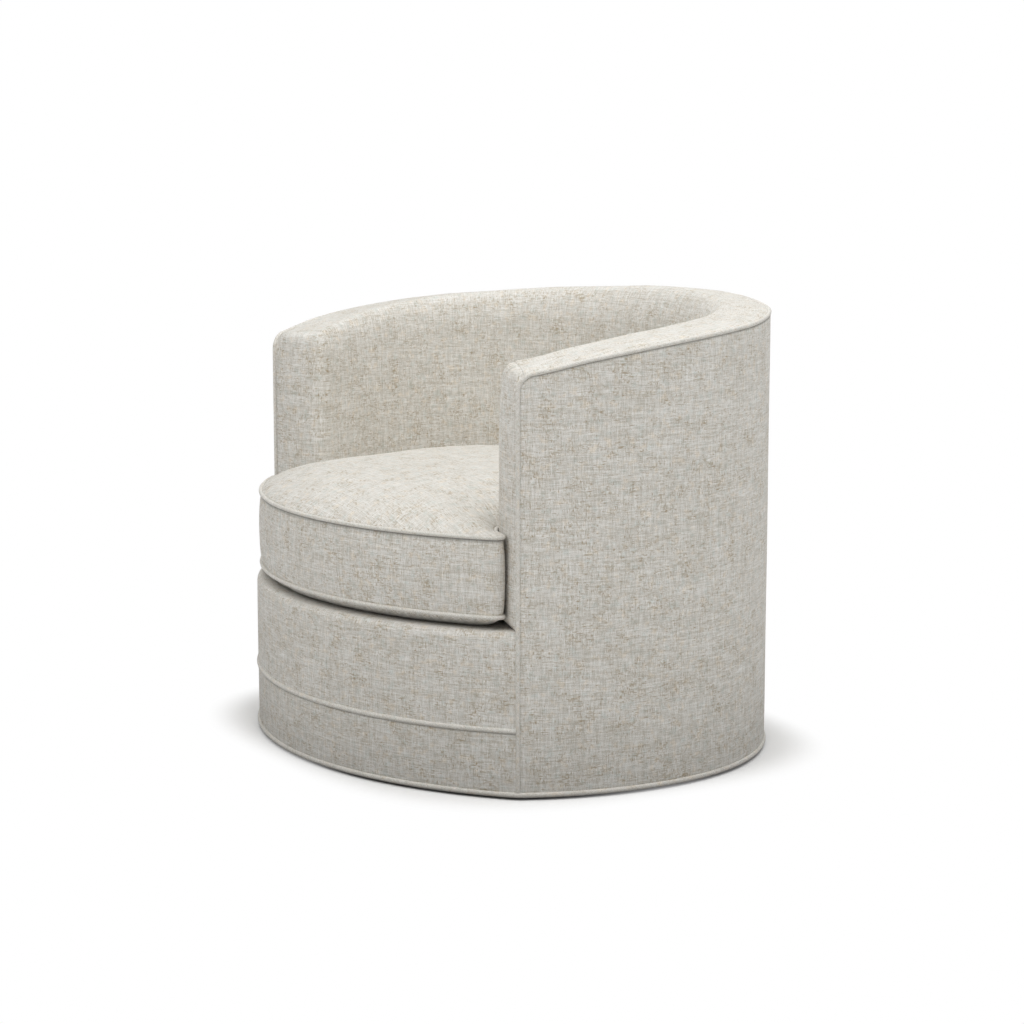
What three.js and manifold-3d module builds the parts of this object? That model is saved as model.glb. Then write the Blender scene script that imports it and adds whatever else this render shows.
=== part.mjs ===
// Swivel barrel chair: an upholstered tub on a hidden ball-bearing turntable, with a loose T cushion.
// Millimetres, +Z up. The front faces -Y. The origin is on the floor, on the axis that the seat turns about.
// Left and right are the sitter's, so the left arm is on the +X side.
import * as THREE from "three";
import { mergeVertices } from "three/addons/utils/BufferGeometryUtils.js";
import Module from "manifold-3d";

// Driving dimensions of the upholstered body
const halfWidth = 457;
const widestY = -8; // the line where the wall is widest
const backDepth = 399; // from the widest line to the back
const backFullness = 2.08; // exponent of the back's superellipse, where 2 is an ellipse
const cornerX = 402.5; // where the outside wall ends and the bowed front begins
const frontY = -391;
// Top welt's height, and the padded top's rise above it, from the arm front to the middle of the back
const seamHeights = [626, 648.5, 665.5, 677, 684, 691.5, 695.5, 701, 703];
const crownHeights = [8.6, 6, 5.5, 4.6, 4.3, 4.2, 4.2, 4.4, 4.5];
const armThickness = 115;
const backThickness = 98;
const armRoll = { width: 18, drop: 50 }; // half axes of the rounding into the inner face
const backRoll = { width: 40, drop: 75 };
const crownPower = 1.2; // how the padded top rises to its crest, where 1 is straight
const frontBulge = 23; // how far the padded arm front stands forward of its seam
const frontRoll = 60; // rounding of the arm front's top
const railTop = 250;
const railSeam = 103.5;
const railRound = 12;
const clothThickness = 3;
const bodyUnderside = 12;
const weltRadius = 4.1;
const topWeltRadius = 3.2;
const weltInset = 1.5; // of a welt's middle, from the outside of the cloth
const frontWeltRadius = 3.2; // of the upright welts down the front corners
const cornerCut = 5; // what the covers leave at a front corner for its upright welt
const bottomWeltHeight = 7.6;
const gap = 0.3; // between pieces that touch
const weltGap = 0.7; // between a welt and the cloth on each side of it

// Seat cushion
const cushionBottomSeam = 272;
const cushionTopSeam = 387;
const cushionCrown = 56;
const cushionSag = 21; // how far the underside hangs below its seam
const cushionFrontInset = 8; // of its front behind the bowed front
const cushionClearance = 5;
const earClearance = 6; // of the cushion's ears in front of the arm fronts
const earTip = { inset: 13.5, ahead: 16 }; // of an ear's corner from the arm front's outer edge
const earRound = 24; // run of the rounding at an ear's tip
const cushionWelt = 3.6;

// Frame
const boardOuter = 20; // insets of the posts and rails from the outside of the cloth
const boardInner = 60;
const plyThickness = 19;
const seatRailTop = 235;
const topRailDrop = 30; // of the top rails below the top welt
const topRailHeight = 25;
const mitre = 13; // what the frame members leave at the front corners
const bowSteps = 18;

// Turntable and base
const glideHeight = 5;
const glideRadius = 18;
const glideCount = 4;
const glideCircle = 255;
const discRadius = 290;
const discThickness = 15;
const plateSize = 300;
const plateThickness = 2;
const rivetHole = 9.2;
const rivetBore = 5;
const rivetFlange = { radius: 14, height: 1.2 };
const screwHeadRadius = 5;
const screwHeadHeight = 1.2;
const ballRadius = 3;
const ballCircle = 110;
const ballCount = 12;
const screwCircle = 185;
const crossRailX = 110;
const crossRailWidth = 60;
const crossRailHeight = 40;

const { lerp, clamp } = THREE.MathUtils;
const wasm = await Module();
wasm.setup();

// Plan lines

const cornerY = widestY - Math.sqrt(halfWidth ** 2 - cornerX ** 2);
const wallStart = Math.asin((cornerY - widestY) / halfWidth);
const bowRise = cornerY - frontY;
const bowRadius = (cornerX ** 2 + bowRise ** 2) / (2 * bowRise);
const bowCentreY = frontY + bowRadius;
const bowHalfAngle = Math.asin(cornerX / bowRadius);

// Outside of the wall, from the left arm's front corner round the back to the right arm's.
// It is a circle in front of the widest line and a slightly full ellipse behind it.
class WallLine extends THREE.Curve {
  getPoint(t, target = new THREE.Vector3()) {
    const angle = lerp(wallStart, Math.PI - wallStart, t);
    const across = Math.cos(angle);
    const back = Math.sin(angle);
    if (back < 0) return target.set(halfWidth * across, widestY + halfWidth * back, 0);
    const power = 2 / backFullness;
    const x = Math.sign(across) * Math.abs(across) ** power;
    return target.set(halfWidth * x, widestY + backDepth * back ** power, 0);
  }
}

// Outside of the bowed front, from the right corner to the left one, as seen by the sitter.
class BowLine extends THREE.Curve {
  getPoint(t, target = new THREE.Vector3()) {
    const angle = lerp(-bowHalfAngle, bowHalfAngle, t);
    return target.set(bowRadius * Math.sin(angle), bowCentreY - bowRadius * Math.cos(angle), 0);
  }
}

const wall = new WallLine();
const bow = new BowLine();
wall.arcLengthDivisions = 600;
bow.arcLengthDivisions = 200;
const wallLength = wall.getLength();
const bowLength = bow.getLength();

// A point at a distance inwards from a plan line, where both lines keep the inside on their left.
function inward(line, u, inset, height = 0) {
  const at = line.getPointAt(clamp(u, 0, 1));
  const along = line.getTangentAt(clamp(u, 0, 1));
  return new THREE.Vector3(at.x - along.y * inset, at.y + along.x * inset, height);
}

// How far a place on the wall is from the arm front, from 0 there to 1 at the middle of the back.
const backness = (u) => 1 - Math.abs(2 * u - 1);
const thicknessAt = (u) => lerp(armThickness, backThickness, backness(u));
const curveThrough = (heights) => new THREE.SplineCurve(heights.map((z, i) => new THREE.Vector2(i, z)));
const seamCurve = curveThrough(seamHeights);
const crownCurve = curveThrough(crownHeights);
const seamAt = (u) => seamCurve.getPoint(backness(u)).y;
const crownAt = (u) => crownCurve.getPoint(backness(u)).y;

// Solid through a row of rings with equal numbers of points, capped at both ends or closed on itself.
function loft(rings, closed = false) {
  const count = rings[0].length;
  const positions = rings.flat().flatMap((p) => [p.x, p.y, p.z]);
  const index = [];
  const bands = closed ? rings.length : rings.length - 1;
  for (let i = 0; i < bands; i++) {
    const next = (i + 1) % rings.length;
    for (let j = 0; j < count; j++) {
      const k = (j + 1) % count;
      index.push(i * count + j, next * count + j, next * count + k);
      index.push(i * count + j, next * count + k, i * count + k);
    }
  }
  if (!closed) {
    for (const [a, b, c] of capFaces(rings[0])) index.push(a, b, c);
    const last = (rings.length - 1) * count;
    for (const [a, b, c] of capFaces(rings.at(-1))) index.push(last + a, last + c, last + b);
  }
  const geometry = new THREE.BufferGeometry();
  geometry.setAttribute("position", new THREE.Float32BufferAttribute(positions, 3));
  geometry.setIndex(signedVolume(positions, index) < 0 ? index.reverse() : index);
  geometry.computeVertexNormals();
  return geometry;
}

// Triangles of a flat ring, turned to run against its first band.
function capFaces(ring) {
  const normal = new THREE.Vector3();
  ring.forEach((p, i) => normal.add(p.clone().cross(ring[(i + 1) % ring.length])));
  normal.normalize();
  const side = ring[1].clone().sub(ring[0]).normalize();
  const up = normal.clone().cross(side);
  const flat = ring.map((p) => new THREE.Vector2(p.dot(side), p.dot(up)));
  return THREE.ShapeUtils.triangulateShape(flat, []);
}

function signedVolume(positions, index) {
  const corner = (i) => new THREE.Vector3().fromArray(positions, index[i] * 3);
  let volume = 0;
  for (let i = 0; i < index.length; i += 3) {
    volume += corner(i).dot(corner(i + 1).cross(corner(i + 2)));
  }
  return volume;
}

// Solid swept along a plan line from a section of [inset, height] points.
function sweep(line, from, to, steps, sectionAt) {
  const rings = [];
  for (let i = 0; i <= steps; i++) {
    const u = lerp(from, to, i / steps);
    rings.push(sectionAt(u).map(([inset, height]) => inward(line, u, inset, height)));
  }
  return loft(rings);
}

const bar = (inner, outer, low, high) => [[outer, low], [inner, low], [inner, high], [outer, high]];

class OffsetPath extends THREE.Curve {
  constructor(at) {
    super();
    this.at = at;
  }
  getPoint(t) {
    return this.at(t);
  }
}

// Round cord along a path, such as a welt or a wire.
function cordAlong(at, radius, steps, sides = 6) {
  const section = new THREE.Shape();
  for (let i = 0; i < sides; i++) {
    const angle = (2 * Math.PI * i) / sides;
    section[i ? "lineTo" : "moveTo"](radius * Math.cos(angle), radius * Math.sin(angle));
  }
  return new THREE.ExtrudeGeometry(section, { steps, extrudePath: new OffsetPath(at), bevelEnabled: false });
}

function slab(shape, low, high, curveSegments = 12) {
  const settings = { depth: high - low, bevelEnabled: false, curveSegments };
  return new THREE.ExtrudeGeometry(shape, settings).translate(0, 0, low);
}

function rod(radius, low, high, x = 0, y = 0, sides = 16) {
  const geometry = new THREE.CylinderGeometry(radius, radius, high - low, sides);
  return geometry.rotateX(Math.PI / 2).translate(x, y, (low + high) / 2);
}

function block(x, y, low, high, sizeX, sizeY) {
  return new THREE.BoxGeometry(sizeX, sizeY, high - low).translate(x, y, (low + high) / 2);
}

const chair = new THREE.Group();

function addPart(name, geometry, { color, roughness, metalness = 0 }) {
  const material = new THREE.MeshStandardMaterial({ color, roughness, metalness });
  const mesh = new THREE.Mesh(geometry, material);
  mesh.name = name;
  chair.add(mesh);
}

const cloth = { color: 0xcfccc2, roughness: 0.92 };
const foam = { color: 0xe8dfb9, roughness: 0.95 };
const felt = { color: 0xb9b7b0, roughness: 1 };
const hardwood = { color: 0xc79f6b, roughness: 0.65 };
const plywood = { color: 0xd6b483, roughness: 0.7 };
const zincSteel = { color: 0xb4b7ba, roughness: 0.35, metalness: 1 };
const springSteel = { color: 0x55585b, roughness: 0.4, metalness: 1 };
const nylon = { color: 0x2c2c2e, roughness: 0.5 };
const blackCambric = { color: 0x1b1b1c, roughness: 0.95 };

const sides = [
  { name: "left", from: 0, to: 0.5, mirror: 1 },
  { name: "right", from: 1, to: 0.5, mirror: -1 },
];

// Base and turntable, from the floor up

const discLow = glideHeight + gap;
const lowerPlateLow = discLow + discThickness + gap;
const ballMiddle = lowerPlateLow + plateThickness + gap + ballRadius;
const upperPlateLow = ballMiddle + ballRadius + gap;
const frameFloor = upperPlateLow + plateThickness;

function squarePlate(low) {
  const half = plateSize / 2;
  const corner = 18;
  const outline = new THREE.Shape();
  outline.moveTo(-half + corner, -half);
  outline.lineTo(half - corner, -half);
  outline.absarc(half - corner, -half + corner, corner, -Math.PI / 2, 0);
  outline.absarc(half - corner, half - corner, corner, 0, Math.PI / 2);
  outline.absarc(-half + corner, half - corner, corner, Math.PI / 2, Math.PI);
  outline.absarc(-half + corner, -half + corner, corner, Math.PI, 1.5 * Math.PI);
  outline.holes.push(new THREE.Path().absarc(0, 0, rivetHole, 0, 2 * Math.PI, true));
  return slab(outline, low, low + plateThickness, 4);
}

function around(count, radius, make, turn = 0) {
  const pieces = [];
  for (let i = 0; i < count; i++) {
    const angle = turn + (2 * Math.PI * i) / count;
    pieces.push(make(radius * Math.cos(angle), radius * Math.sin(angle)));
  }
  return pieces;
}

function makeBase() {
  const quarterTurn = Math.PI / 4;
  const glideAt = (x, y) => rod(glideRadius, 0, glideHeight, x, y, 20);
  const glides = around(glideCount, glideCircle, glideAt, quarterTurn);
  glides.forEach((glide, i) => addPart(`floor_glide_${i + 1}`, glide, nylon));

  const disc = new THREE.Shape().absarc(0, 0, discRadius, 0, 2 * Math.PI);
  disc.holes.push(new THREE.Path().absarc(0, 0, 30, 0, 2 * Math.PI, true));
  addPart("base_disc", slab(disc, discLow, discLow + discThickness, 20), plywood);
  addPart("lower_bearing_plate", squarePlate(lowerPlateLow), zincSteel);

  const headLow = lowerPlateLow + plateThickness + gap;
  const headAt = (x, y) => rod(screwHeadRadius, headLow, headLow + screwHeadHeight, x, y, 8);
  const screws = around(4, screwCircle, headAt, quarterTurn);
  screws.forEach((screw, i) => addPart(`lower_plate_screw_${i + 1}`, screw, zincSteel));

  // Hollow rivet through both plates, flanged at each end
  const flange = rivetFlange;
  const low = lowerPlateLow - gap - flange.height;
  const high = frameFloor + gap + flange.height;
  const shank = rivetHole - 1.2;
  const profile = [[rivetBore, low], [flange.radius, low], [flange.radius, low + flange.height],
    [shank, low + flange.height], [shank, high - flange.height], [flange.radius, high - flange.height],
    [flange.radius, high], [rivetBore, high], [rivetBore, low]];
  const rivet = new THREE.LatheGeometry(profile.map(([r, z]) => new THREE.Vector2(r, z)), 16);
  addPart("centre_rivet", rivet.rotateX(Math.PI / 2), zincSteel);
}

function solidOf(geometry) {
  const bare = geometry.clone();
  bare.deleteAttribute("normal");
  bare.deleteAttribute("uv");
  const merged = mergeVertices(bare);
  const vertProperties = new Float32Array(merged.attributes.position.array);
  const triVerts = new Uint32Array(merged.index.array);
  return new wasm.Manifold(new wasm.Mesh({ numProp: 3, vertProperties, triVerts }));
}

function geometryOf(solid) {
  const { vertProperties, triVerts } = solid.getMesh();
  const geometry = new THREE.BufferGeometry();
  geometry.setAttribute("position", new THREE.BufferAttribute(vertProperties, 3));
  geometry.setIndex(new THREE.BufferAttribute(triVerts, 1));
  geometry.computeVertexNormals();
  return geometry;
}

// Flat ring with the balls held in it
function makeBallCage() {
  const ring = new THREE.Shape().absarc(0, 0, ballCircle + 10, 0, 2 * Math.PI);
  ring.holes.push(new THREE.Path().absarc(0, 0, ballCircle - 10, 0, 2 * Math.PI, true));
  const ball = new THREE.SphereGeometry(ballRadius, 6, 4).rotateX(Math.PI / 2);
  const balls = around(ballCount, ballCircle, (x, y) => ball.clone().translate(x, y, ballMiddle));
  const sheet = slab(ring, ballMiddle - 1, ballMiddle + 1, 16);
  const caged = wasm.Manifold.union([sheet, ...balls].map(solidOf));
  addPart("ball_cage", geometryOf(caged), nylon);
}

// Frame of the turning seat

function makeFrame() {
  addPart("upper_bearing_plate", squarePlate(upperPlateLow), zincSteel);
  const railLow = frameFloor + gap;
  for (const { name, mirror } of sides) {
    const rail = block(mirror * crossRailX, -5, railLow, railLow + crossRailHeight, crossRailWidth, 680);
    addPart(`swivel_cross_rail_${name}`, rail, hardwood);
  }

  const bottomSection = () => bar(70, boardOuter, frameFloor - plyThickness, frameFloor);
  const bowCut = mitre / bowLength;
  addPart("bottom_rail_front", sweep(bow, bowCut, 1 - bowCut, bowSteps, bottomSection), plywood);
  const frontSection = () => bar(46, 17, 150, seatRailTop);
  addPart("seat_rail_front", sweep(bow, bowCut, 1 - bowCut, bowSteps, frontSection), plywood);

  const seatSection = () => bar(95, boardInner + 2.5, 190, seatRailTop);
  const topSection = (u) => {
    const high = seamAt(u) - topRailDrop;
    return bar(boardInner, boardOuter, high - topRailHeight, high);
  };
  for (const { name, from, to } of sides) {
    const start = from + (Math.sign(to - from) * mitre) / wallLength;
    const middle = to - (Math.sign(to - from) * 0.5) / wallLength;
    const railOf = (section) => sweep(wall, start, middle, 14, section);
    addPart(`bottom_rail_${name}`, railOf(bottomSection), plywood);
    addPart(`seat_rail_${name}`, railOf(seatSection), plywood);
    addPart(`top_rail_${name}`, railOf(topSection), plywood);
    addPart(`front_post_${name}`, post(start, start + (Math.sign(to - from) * 60) / wallLength), hardwood);
    const backPost = from + Math.sign(to - from) * 0.33;
    addPart(`back_post_${name}`, post(backPost - 30 / wallLength, backPost + 30 / wallLength), hardwood);
  }
}

// Upright from the bottom rails to the underside of the top rails
function post(from, to) {
  const top = Math.min(seamAt(from), seamAt(to)) - topRailDrop - topRailHeight - gap;
  return sweep(wall, from, to, 1, () => bar(boardInner, boardOuter, frameFloor + gap, top));
}

// Sinuous springs from the front seat rail to the back one

const wireRadius = 1.9;
const springRows = [-200, -100, 0, 100, 200];
const springBends = 10;
const springHalfWidth = 22;
const springRise = 5;

const bowYAt = (x, inset) => bowCentreY - Math.sqrt((bowRadius - inset) ** 2 - x ** 2);

// The wall's back at a given x, measured inwards from its outside
function backYAt(x, inset) {
  const spread = (Math.abs(x) / (halfWidth - inset)) ** backFullness;
  return widestY + (backDepth - inset) * (1 - spread) ** (1 / backFullness);
}

function makeSprings() {
  const middle = seatRailTop + gap + wireRadius;
  springRows.forEach((x, row) => {
    const front = bowYAt(x, 30);
    const back = backYAt(x, 80);
    const points = [new THREE.Vector3(x, front, middle)];
    for (let i = 1; i < springBends; i++) {
      const y = lerp(front, back, i / springBends);
      const side = i % 2 ? springHalfWidth : -springHalfWidth;
      const height = middle + springRise * Math.sin((Math.PI * i) / springBends);
      points.push(new THREE.Vector3(x + side, y - 12, height), new THREE.Vector3(x + side, y + 12, height));
    }
    points.push(new THREE.Vector3(x, back, middle));
    const path = new THREE.CatmullRomCurve3(points);
    addPart(`sinuous_spring_${row + 1}`, cordAlong((t) => path.getPoint(t), wireRadius, 42, 4), springSteel);
  });
}

// Deck under the cushion: it fills the plan inside the front cover and the wall's frame.
function deckOutline(frontInset, wallInset) {
  const cut = mitre / bowLength;
  const points = [];
  for (let i = 0; i <= 12; i++) points.push(inward(bow, lerp(cut, 1 - cut, i / 12), frontInset));
  for (let i = 0; i <= 24; i++) {
    const edge = 5 / wallLength;
    points.push(inward(wall, lerp(edge, 1 - edge, i / 24), wallInset));
  }
  return new THREE.Shape(points.map((p) => new THREE.Vector2(p.x, p.y)));
}

function makeDeck() {
  const padLow = seatRailTop + 9.6;
  addPart("spring_pad", slab(deckOutline(20, 66), padLow, padLow + 2.6), felt);
  addPart("deck_cloth", slab(deckOutline(railRound + 1, 64), railTop - 2.4, railTop), cloth);
  const outline = new THREE.Shape();
  const hem = 8;
  const rim = [];
  for (let i = 0; i <= 12; i++) rim.push(inward(bow, i / 12, hem));
  for (let i = 1; i < 28; i++) rim.push(inward(wall, i / 28, hem));
  rim.forEach((p, i) => outline[i ? "lineTo" : "moveTo"](p.x, p.y));
  outline.holes.push(new THREE.Path().absarc(0, 0, discRadius + 12, 0, 2 * Math.PI, true));
  const high = frameFloor - plyThickness - gap;
  addPart("dust_cover", slab(outline, high - 1, high, 20), blackCambric);
}

// Soft wall: foam behind cloth, over the top of the frame and down to the deck

// Top of the padded wall as [inset, height] points, set in by a depth, from the outer seam to the inner face
function topLine(u, depth) {
  const thickness = thicknessAt(u);
  const width = lerp(armRoll.width, backRoll.width, backness(u));
  const drop = lerp(armRoll.drop, backRoll.drop, backness(u));
  const base = seamAt(u) + topWeltRadius + weltGap;
  const crest = base + crownAt(u);
  const points = [];
  for (let i = 0; i < 4; i++) {
    const rise = 1 - (1 - i / 4) ** crownPower;
    points.push([lerp(1 + depth, thickness - width, i / 4), lerp(base, crest - depth, rise)]);
  }
  for (let i = 0; i <= 5; i++) {
    const angle = (Math.PI / 2) * (i / 5);
    const inset = thickness - width + (width - depth) * Math.sin(angle);
    points.push([inset, crest - drop + (drop - depth) * Math.cos(angle)]);
  }
  return points;
}

function insideClothSection(u) {
  const thickness = thicknessAt(u);
  const low = railTop + gap;
  const outer = [...topLine(u, 0), [thickness, low]];
  const inner = [...topLine(u, clothThickness), [thickness - clothThickness, low]];
  return [...outer, ...inner.reverse()];
}

function insidePadSection(u) {
  const depth = clothThickness + 0.6;
  const low = railTop + gap;
  const frameTop = seamAt(u) - topRailDrop + 1.5;
  const [[, base], ...line] = topLine(u, depth);
  const outer = boardOuter - 12;
  const seamEdge = [[outer, base - 1.5], [outer - 1.5, base - 1.5]];
  return [...line, [thicknessAt(u) - depth, low], [boardInner + 6, low], [boardInner + 6, frameTop],
    [outer, frameTop], ...seamEdge];
}

const backSeam = 0.34; // where the side panels of the wall meet its back panel

function makeWall() {
  const joint = 0.5 / wallLength;
  const panels = [
    { name: "left_arm", from: cornerCut / wallLength, to: backSeam - joint, steps: 14 },
    { name: "back", from: backSeam + joint, to: 1 - backSeam - joint, steps: 12 },
    { name: "right_arm", from: 1 - cornerCut / wallLength, to: 1 - backSeam + joint, steps: 14 },
  ];
  const outsideTop = (u) => seamAt(u) - topWeltRadius - weltGap;
  for (const { name, from, to, steps } of panels) {
    const outside = (u) => bar(clothThickness, 0, bodyUnderside, outsideTop(u));
    addPart(`outside_cover_${name}`, sweep(wall, from, to, steps, outside), cloth);
    addPart(`inside_cover_${name}`, sweep(wall, from, to, steps, insideClothSection), cloth);
    addPart(`inside_pad_${name}`, sweep(wall, from, to, steps, insidePadSection), foam);
  }
  for (const { name, mirror } of sides) addPart(`arm_front_${name}`, armFront(mirror), cloth);
}

// Padded front of an arm, built from level slices. Seen from above, its face leaves the outer seam,
// swells towards the inside and rounds back into the inner face. Above, it rolls into the top.
function armFront(mirror) {
  const corner = inward(wall, 0, 0);
  const across = inward(wall, 0, 1).sub(corner);
  const forward = wall.getTangentAt(0).negate();
  const crest = seamAt(0) + topWeltRadius + weltGap + crownAt(0);
  const low = railTop + gap;
  const behind = 0.65 * cornerCut; // the inside cover starts here, nearer than its cut on the inner face
  const levels = [[low, 0], [low + 40, 0], [crest - frontRoll, 0]];
  for (let i = 1; i <= 5; i++) levels.push([null, (Math.PI / 2) * (i / 5.3)]);
  const rings = levels.map(([level, tilt]) => {
    const height = level ?? crest - frontRoll + frontRoll * Math.sin(tilt);
    const bulge = frontBulge * Math.cos(tilt) * (level === low ? 0.75 : 1);
    const [outer, inner] = insetsAtHeight(height, crest);
    const ring = [];
    for (let i = 0; i <= 8; i++) {
      const share = (1 - Math.cos((Math.PI * i) / 8)) / 2;
      const swell = share < 0.8 ? Math.sin((Math.PI / 2) * (share / 0.8)) ** 0.8
        : Math.sqrt(Math.max(0, 1 - ((share - 0.8) / 0.2) ** 2));
      ring.push([lerp(outer, inner, share), 0.3 + bulge * swell]);
    }
    ring.push([inner, -behind], [outer, -behind]);
    return ring.map(([inset, ahead]) => {
      const p = corner.clone().addScaledVector(across, inset).addScaledVector(forward, ahead);
      return new THREE.Vector3(mirror * p.x, p.y, height);
    });
  });
  return loft(rings);
}

// Where the arm's top outline is as high as a level, from its outer side to its inner side
function insetsAtHeight(height, crest) {
  const { width, drop } = armRoll;
  const up = clamp((height - crest + crownAt(0)) / crownAt(0), 0, 1);
  const outer = lerp(cornerCut + 1, armThickness - width - 2, 1 - (1 - up) ** (1 / crownPower));
  const down = clamp((height - (crest - drop)) / drop, 0, 1);
  const inner = armThickness - width + width * Math.sqrt(1 - down ** 2);
  return [outer, inner];
}

// Bowed front: padded rail cover above the rail welt, plain band below it

function frontCoverSection() {
  const round = (radius) => [0, 1, 2, 3].map((i) => {
    const angle = (Math.PI / 2) * (i / 3);
    return [railRound - radius * Math.cos(angle), railTop - railRound + radius * Math.sin(angle)];
  });
  const low = railSeam + weltRadius + weltGap;
  const inner = round(railRound - clothThickness).reverse();
  return [[0, low], ...round(railRound), ...inner, [clothThickness, low]];
}

function makeFront() {
  const cut = cornerCut / bowLength;
  addPart("front_rail_cover", sweep(bow, cut, 1 - cut, bowSteps, frontCoverSection), cloth);
  const bandTop = railSeam - weltRadius - weltGap;
  const bandSection = () => bar(clothThickness, 0, bodyUnderside, bandTop);
  addPart("front_band_cover", sweep(bow, cut, 1 - cut, bowSteps, bandSection), cloth);
  const padCut = 8 / bowLength;
  const padTop = railTop - clothThickness - gap;
  const padSection = () => [[6, 112], [15, 112], [15, padTop], [railRound, padTop], [6, padTop - 6]];
  addPart("front_rail_pad", sweep(bow, padCut, 1 - padCut, bowSteps, padSection), foam);
}

function makeWelts() {
  const top = (t) => {
    const u = lerp(2, wallLength - 2, t) / wallLength;
    return inward(wall, u, weltInset, seamAt(u));
  };
  addPart("top_welt", cordAlong(top, topWeltRadius, 64), cloth);
  const cut = cornerCut / bowLength;
  const rail = (t) => inward(bow, lerp(cut, 1 - cut, t), weltInset, railSeam);
  addPart("rail_welt", cordAlong(rail, weltRadius, 24), cloth);

  const high = seamAt(0) - topWeltRadius - weltGap;
  for (const { name, from, mirror } of sides) {
    const foot = inward(wall, from + (mirror * 0.5) / wallLength, weltInset);
    const upright = rod(frontWeltRadius, bodyUnderside, high, foot.x, foot.y, 8);
    addPart(`front_welt_${name}`, upright, cloth);
  }

  // The bottom welt starts and ends at the middle of the back.
  const total = wallLength + bowLength;
  const bottom = (t) => {
    const run = lerp(1, total - 1, t);
    const half = wallLength / 2;
    if (run < half) return inward(wall, 0.5 + run / wallLength, weltInset, bottomWeltHeight);
    if (run < half + bowLength) return inward(bow, (run - half) / bowLength, weltInset, bottomWeltHeight);
    return inward(wall, (run - half - bowLength) / wallLength, weltInset, bottomWeltHeight);
  };
  addPart("bottom_welt", cordAlong(bottom, weltRadius, 72), cloth);
}

// Loose T cushion: its front follows the bow, and its ears reach out in front of the arms.

function cushionOutline() {
  const corner = inward(wall, 0, 0);
  const across = inward(wall, 0, 1).sub(corner);
  const forward = wall.getTangentAt(0).negate();
  const at = (inset, ahead) => {
    const p = corner.clone().addScaledVector(across, inset).addScaledVector(forward, ahead);
    return new THREE.Vector2(p.x, p.y);
  };
  const clear = frontBulge + earClearance;
  const radius = bowRadius - cushionFrontInset;
  const frontAt = (angle) => {
    const y = bowCentreY - radius * Math.cos(angle);
    return new THREE.Vector2(radius * Math.sin(angle), y);
  };
  const tipAngle = Math.asin(at(earTip.inset, earTip.ahead).x / radius);
  const roundAngle = tipAngle - earRound / radius;
  const points = [];
  for (let i = 0; i <= 11; i++) points.push(frontAt(lerp(-roundAngle, roundAngle, i / 11)));
  const end = at(earTip.inset + earRound, earTip.ahead + 5);
  const tip = new THREE.QuadraticBezierCurve(points.at(-1), frontAt(tipAngle), end);
  const ear = [
    ...tip.getPoints(3).slice(1),
    at(55, clear - 2),
    at(85, clear + 1),
    at(armThickness + 1, clear - 2),
    at(armThickness + cushionClearance + 1, 8),
  ];
  points.push(...ear);
  for (let i = 1; i < 20; i++) {
    const u = i / 20;
    const p = inward(wall, u, thicknessAt(u) + cushionClearance);
    points.push(new THREE.Vector2(p.x, p.y));
  }
  ear.reverse().forEach((p) => points.push(new THREE.Vector2(-p.x, p.y)));
  return points;
}

// The outline drawn in by an even depth
function drawnIn(outline, depth) {
  return outline.map((p, i) => {
    const before = p.clone().sub(outline.at(i - 1)).normalize();
    const after = outline[(i + 1) % outline.length].clone().sub(p).normalize();
    const inside = new THREE.Vector2(-before.y - after.y, before.x + after.x);
    return p.clone().addScaledVector(inside, (2 * depth) / inside.lengthSq());
  });
}

// Ring of the cushion at a height, drawn in and then shrunk towards a line down the cushion's middle
function cushionRing(outline, depth, scale, height) {
  return drawnIn(outline, depth).map((p) => {
    const middle = clamp(p.y, -230, 110);
    return new THREE.Vector3(scale * p.x, lerp(middle, p.y, scale), height);
  });
}

const crownHeight = (scale) => cushionTopSeam + cushionCrown * (1 - scale ** 3.5);
const sagHeight = (scale) => cushionBottomSeam - cushionSag * Math.min(1, (1 - scale) / 0.22) ** 0.8;

function makeCushion() {
  const outline = cushionOutline();
  const ring = (depth, scale, height) => cushionRing(outline, depth, scale, height);
  const crownScales = [0.18, 0.44, 0.66, 0.82, 0.93, 1];
  const sagScales = [0.3, 0.78, 0.9, 1];
  const panelDepth = cushionWelt + 1.2;
  const panel = (scales, heightAt, step) => loft([
    ...scales.map((s) => ring(panelDepth, s, heightAt(s))),
    ...[...scales].reverse().map((s) => ring(panelDepth, s, heightAt(s) + step)),
  ]);
  addPart("cushion_top_panel", panel(crownScales, crownHeight, -2.5), cloth);
  addPart("cushion_bottom_panel", panel(sagScales, sagHeight, 2.5), cloth);

  const low = cushionBottomSeam + cushionWelt + weltGap;
  const high = cushionTopSeam - cushionWelt - weltGap;
  const half = lerp(low, high, 0.5);
  const border = [[1.5, low], [0, half], [1.5, high], [4, high], [2.5, half], [4, low]];
  addPart("cushion_border", loft(border.map(([d, z]) => ring(d, 1, z)), true), cloth);

  const coreDepth = panelDepth + 1.5;
  const core = [
    ...sagScales.map((s) => ring(coreDepth, s, sagHeight(s) + 3.2)),
    ring(coreDepth - 2.5, 1, half),
    ...[...crownScales].reverse().map((s) => ring(coreDepth, s, crownHeight(s) - 3.2)),
  ];
  addPart("cushion_core", loft(core), foam);

  const welts = { cushion_top_welt: cushionTopSeam, cushion_bottom_welt: cushionBottomSeam };
  for (const [name, height] of Object.entries(welts)) {
    const rings = around(6, cushionWelt, (out, up) => ring(0.5 - out, 1, height + up));
    addPart(name, loft(rings, true), cloth);
  }
}

makeBase();
makeBallCage();
makeFrame();
makeSprings();
makeDeck();
makeWall();
makeFront();
makeWelts();
makeCushion();

export default chair;
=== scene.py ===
# Swivel barrel chair: its covers, cushion and finishes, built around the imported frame.
# Metres, +Z up. The front faces -Y, and the sitter's left arm is on the +X side.
import math

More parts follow.
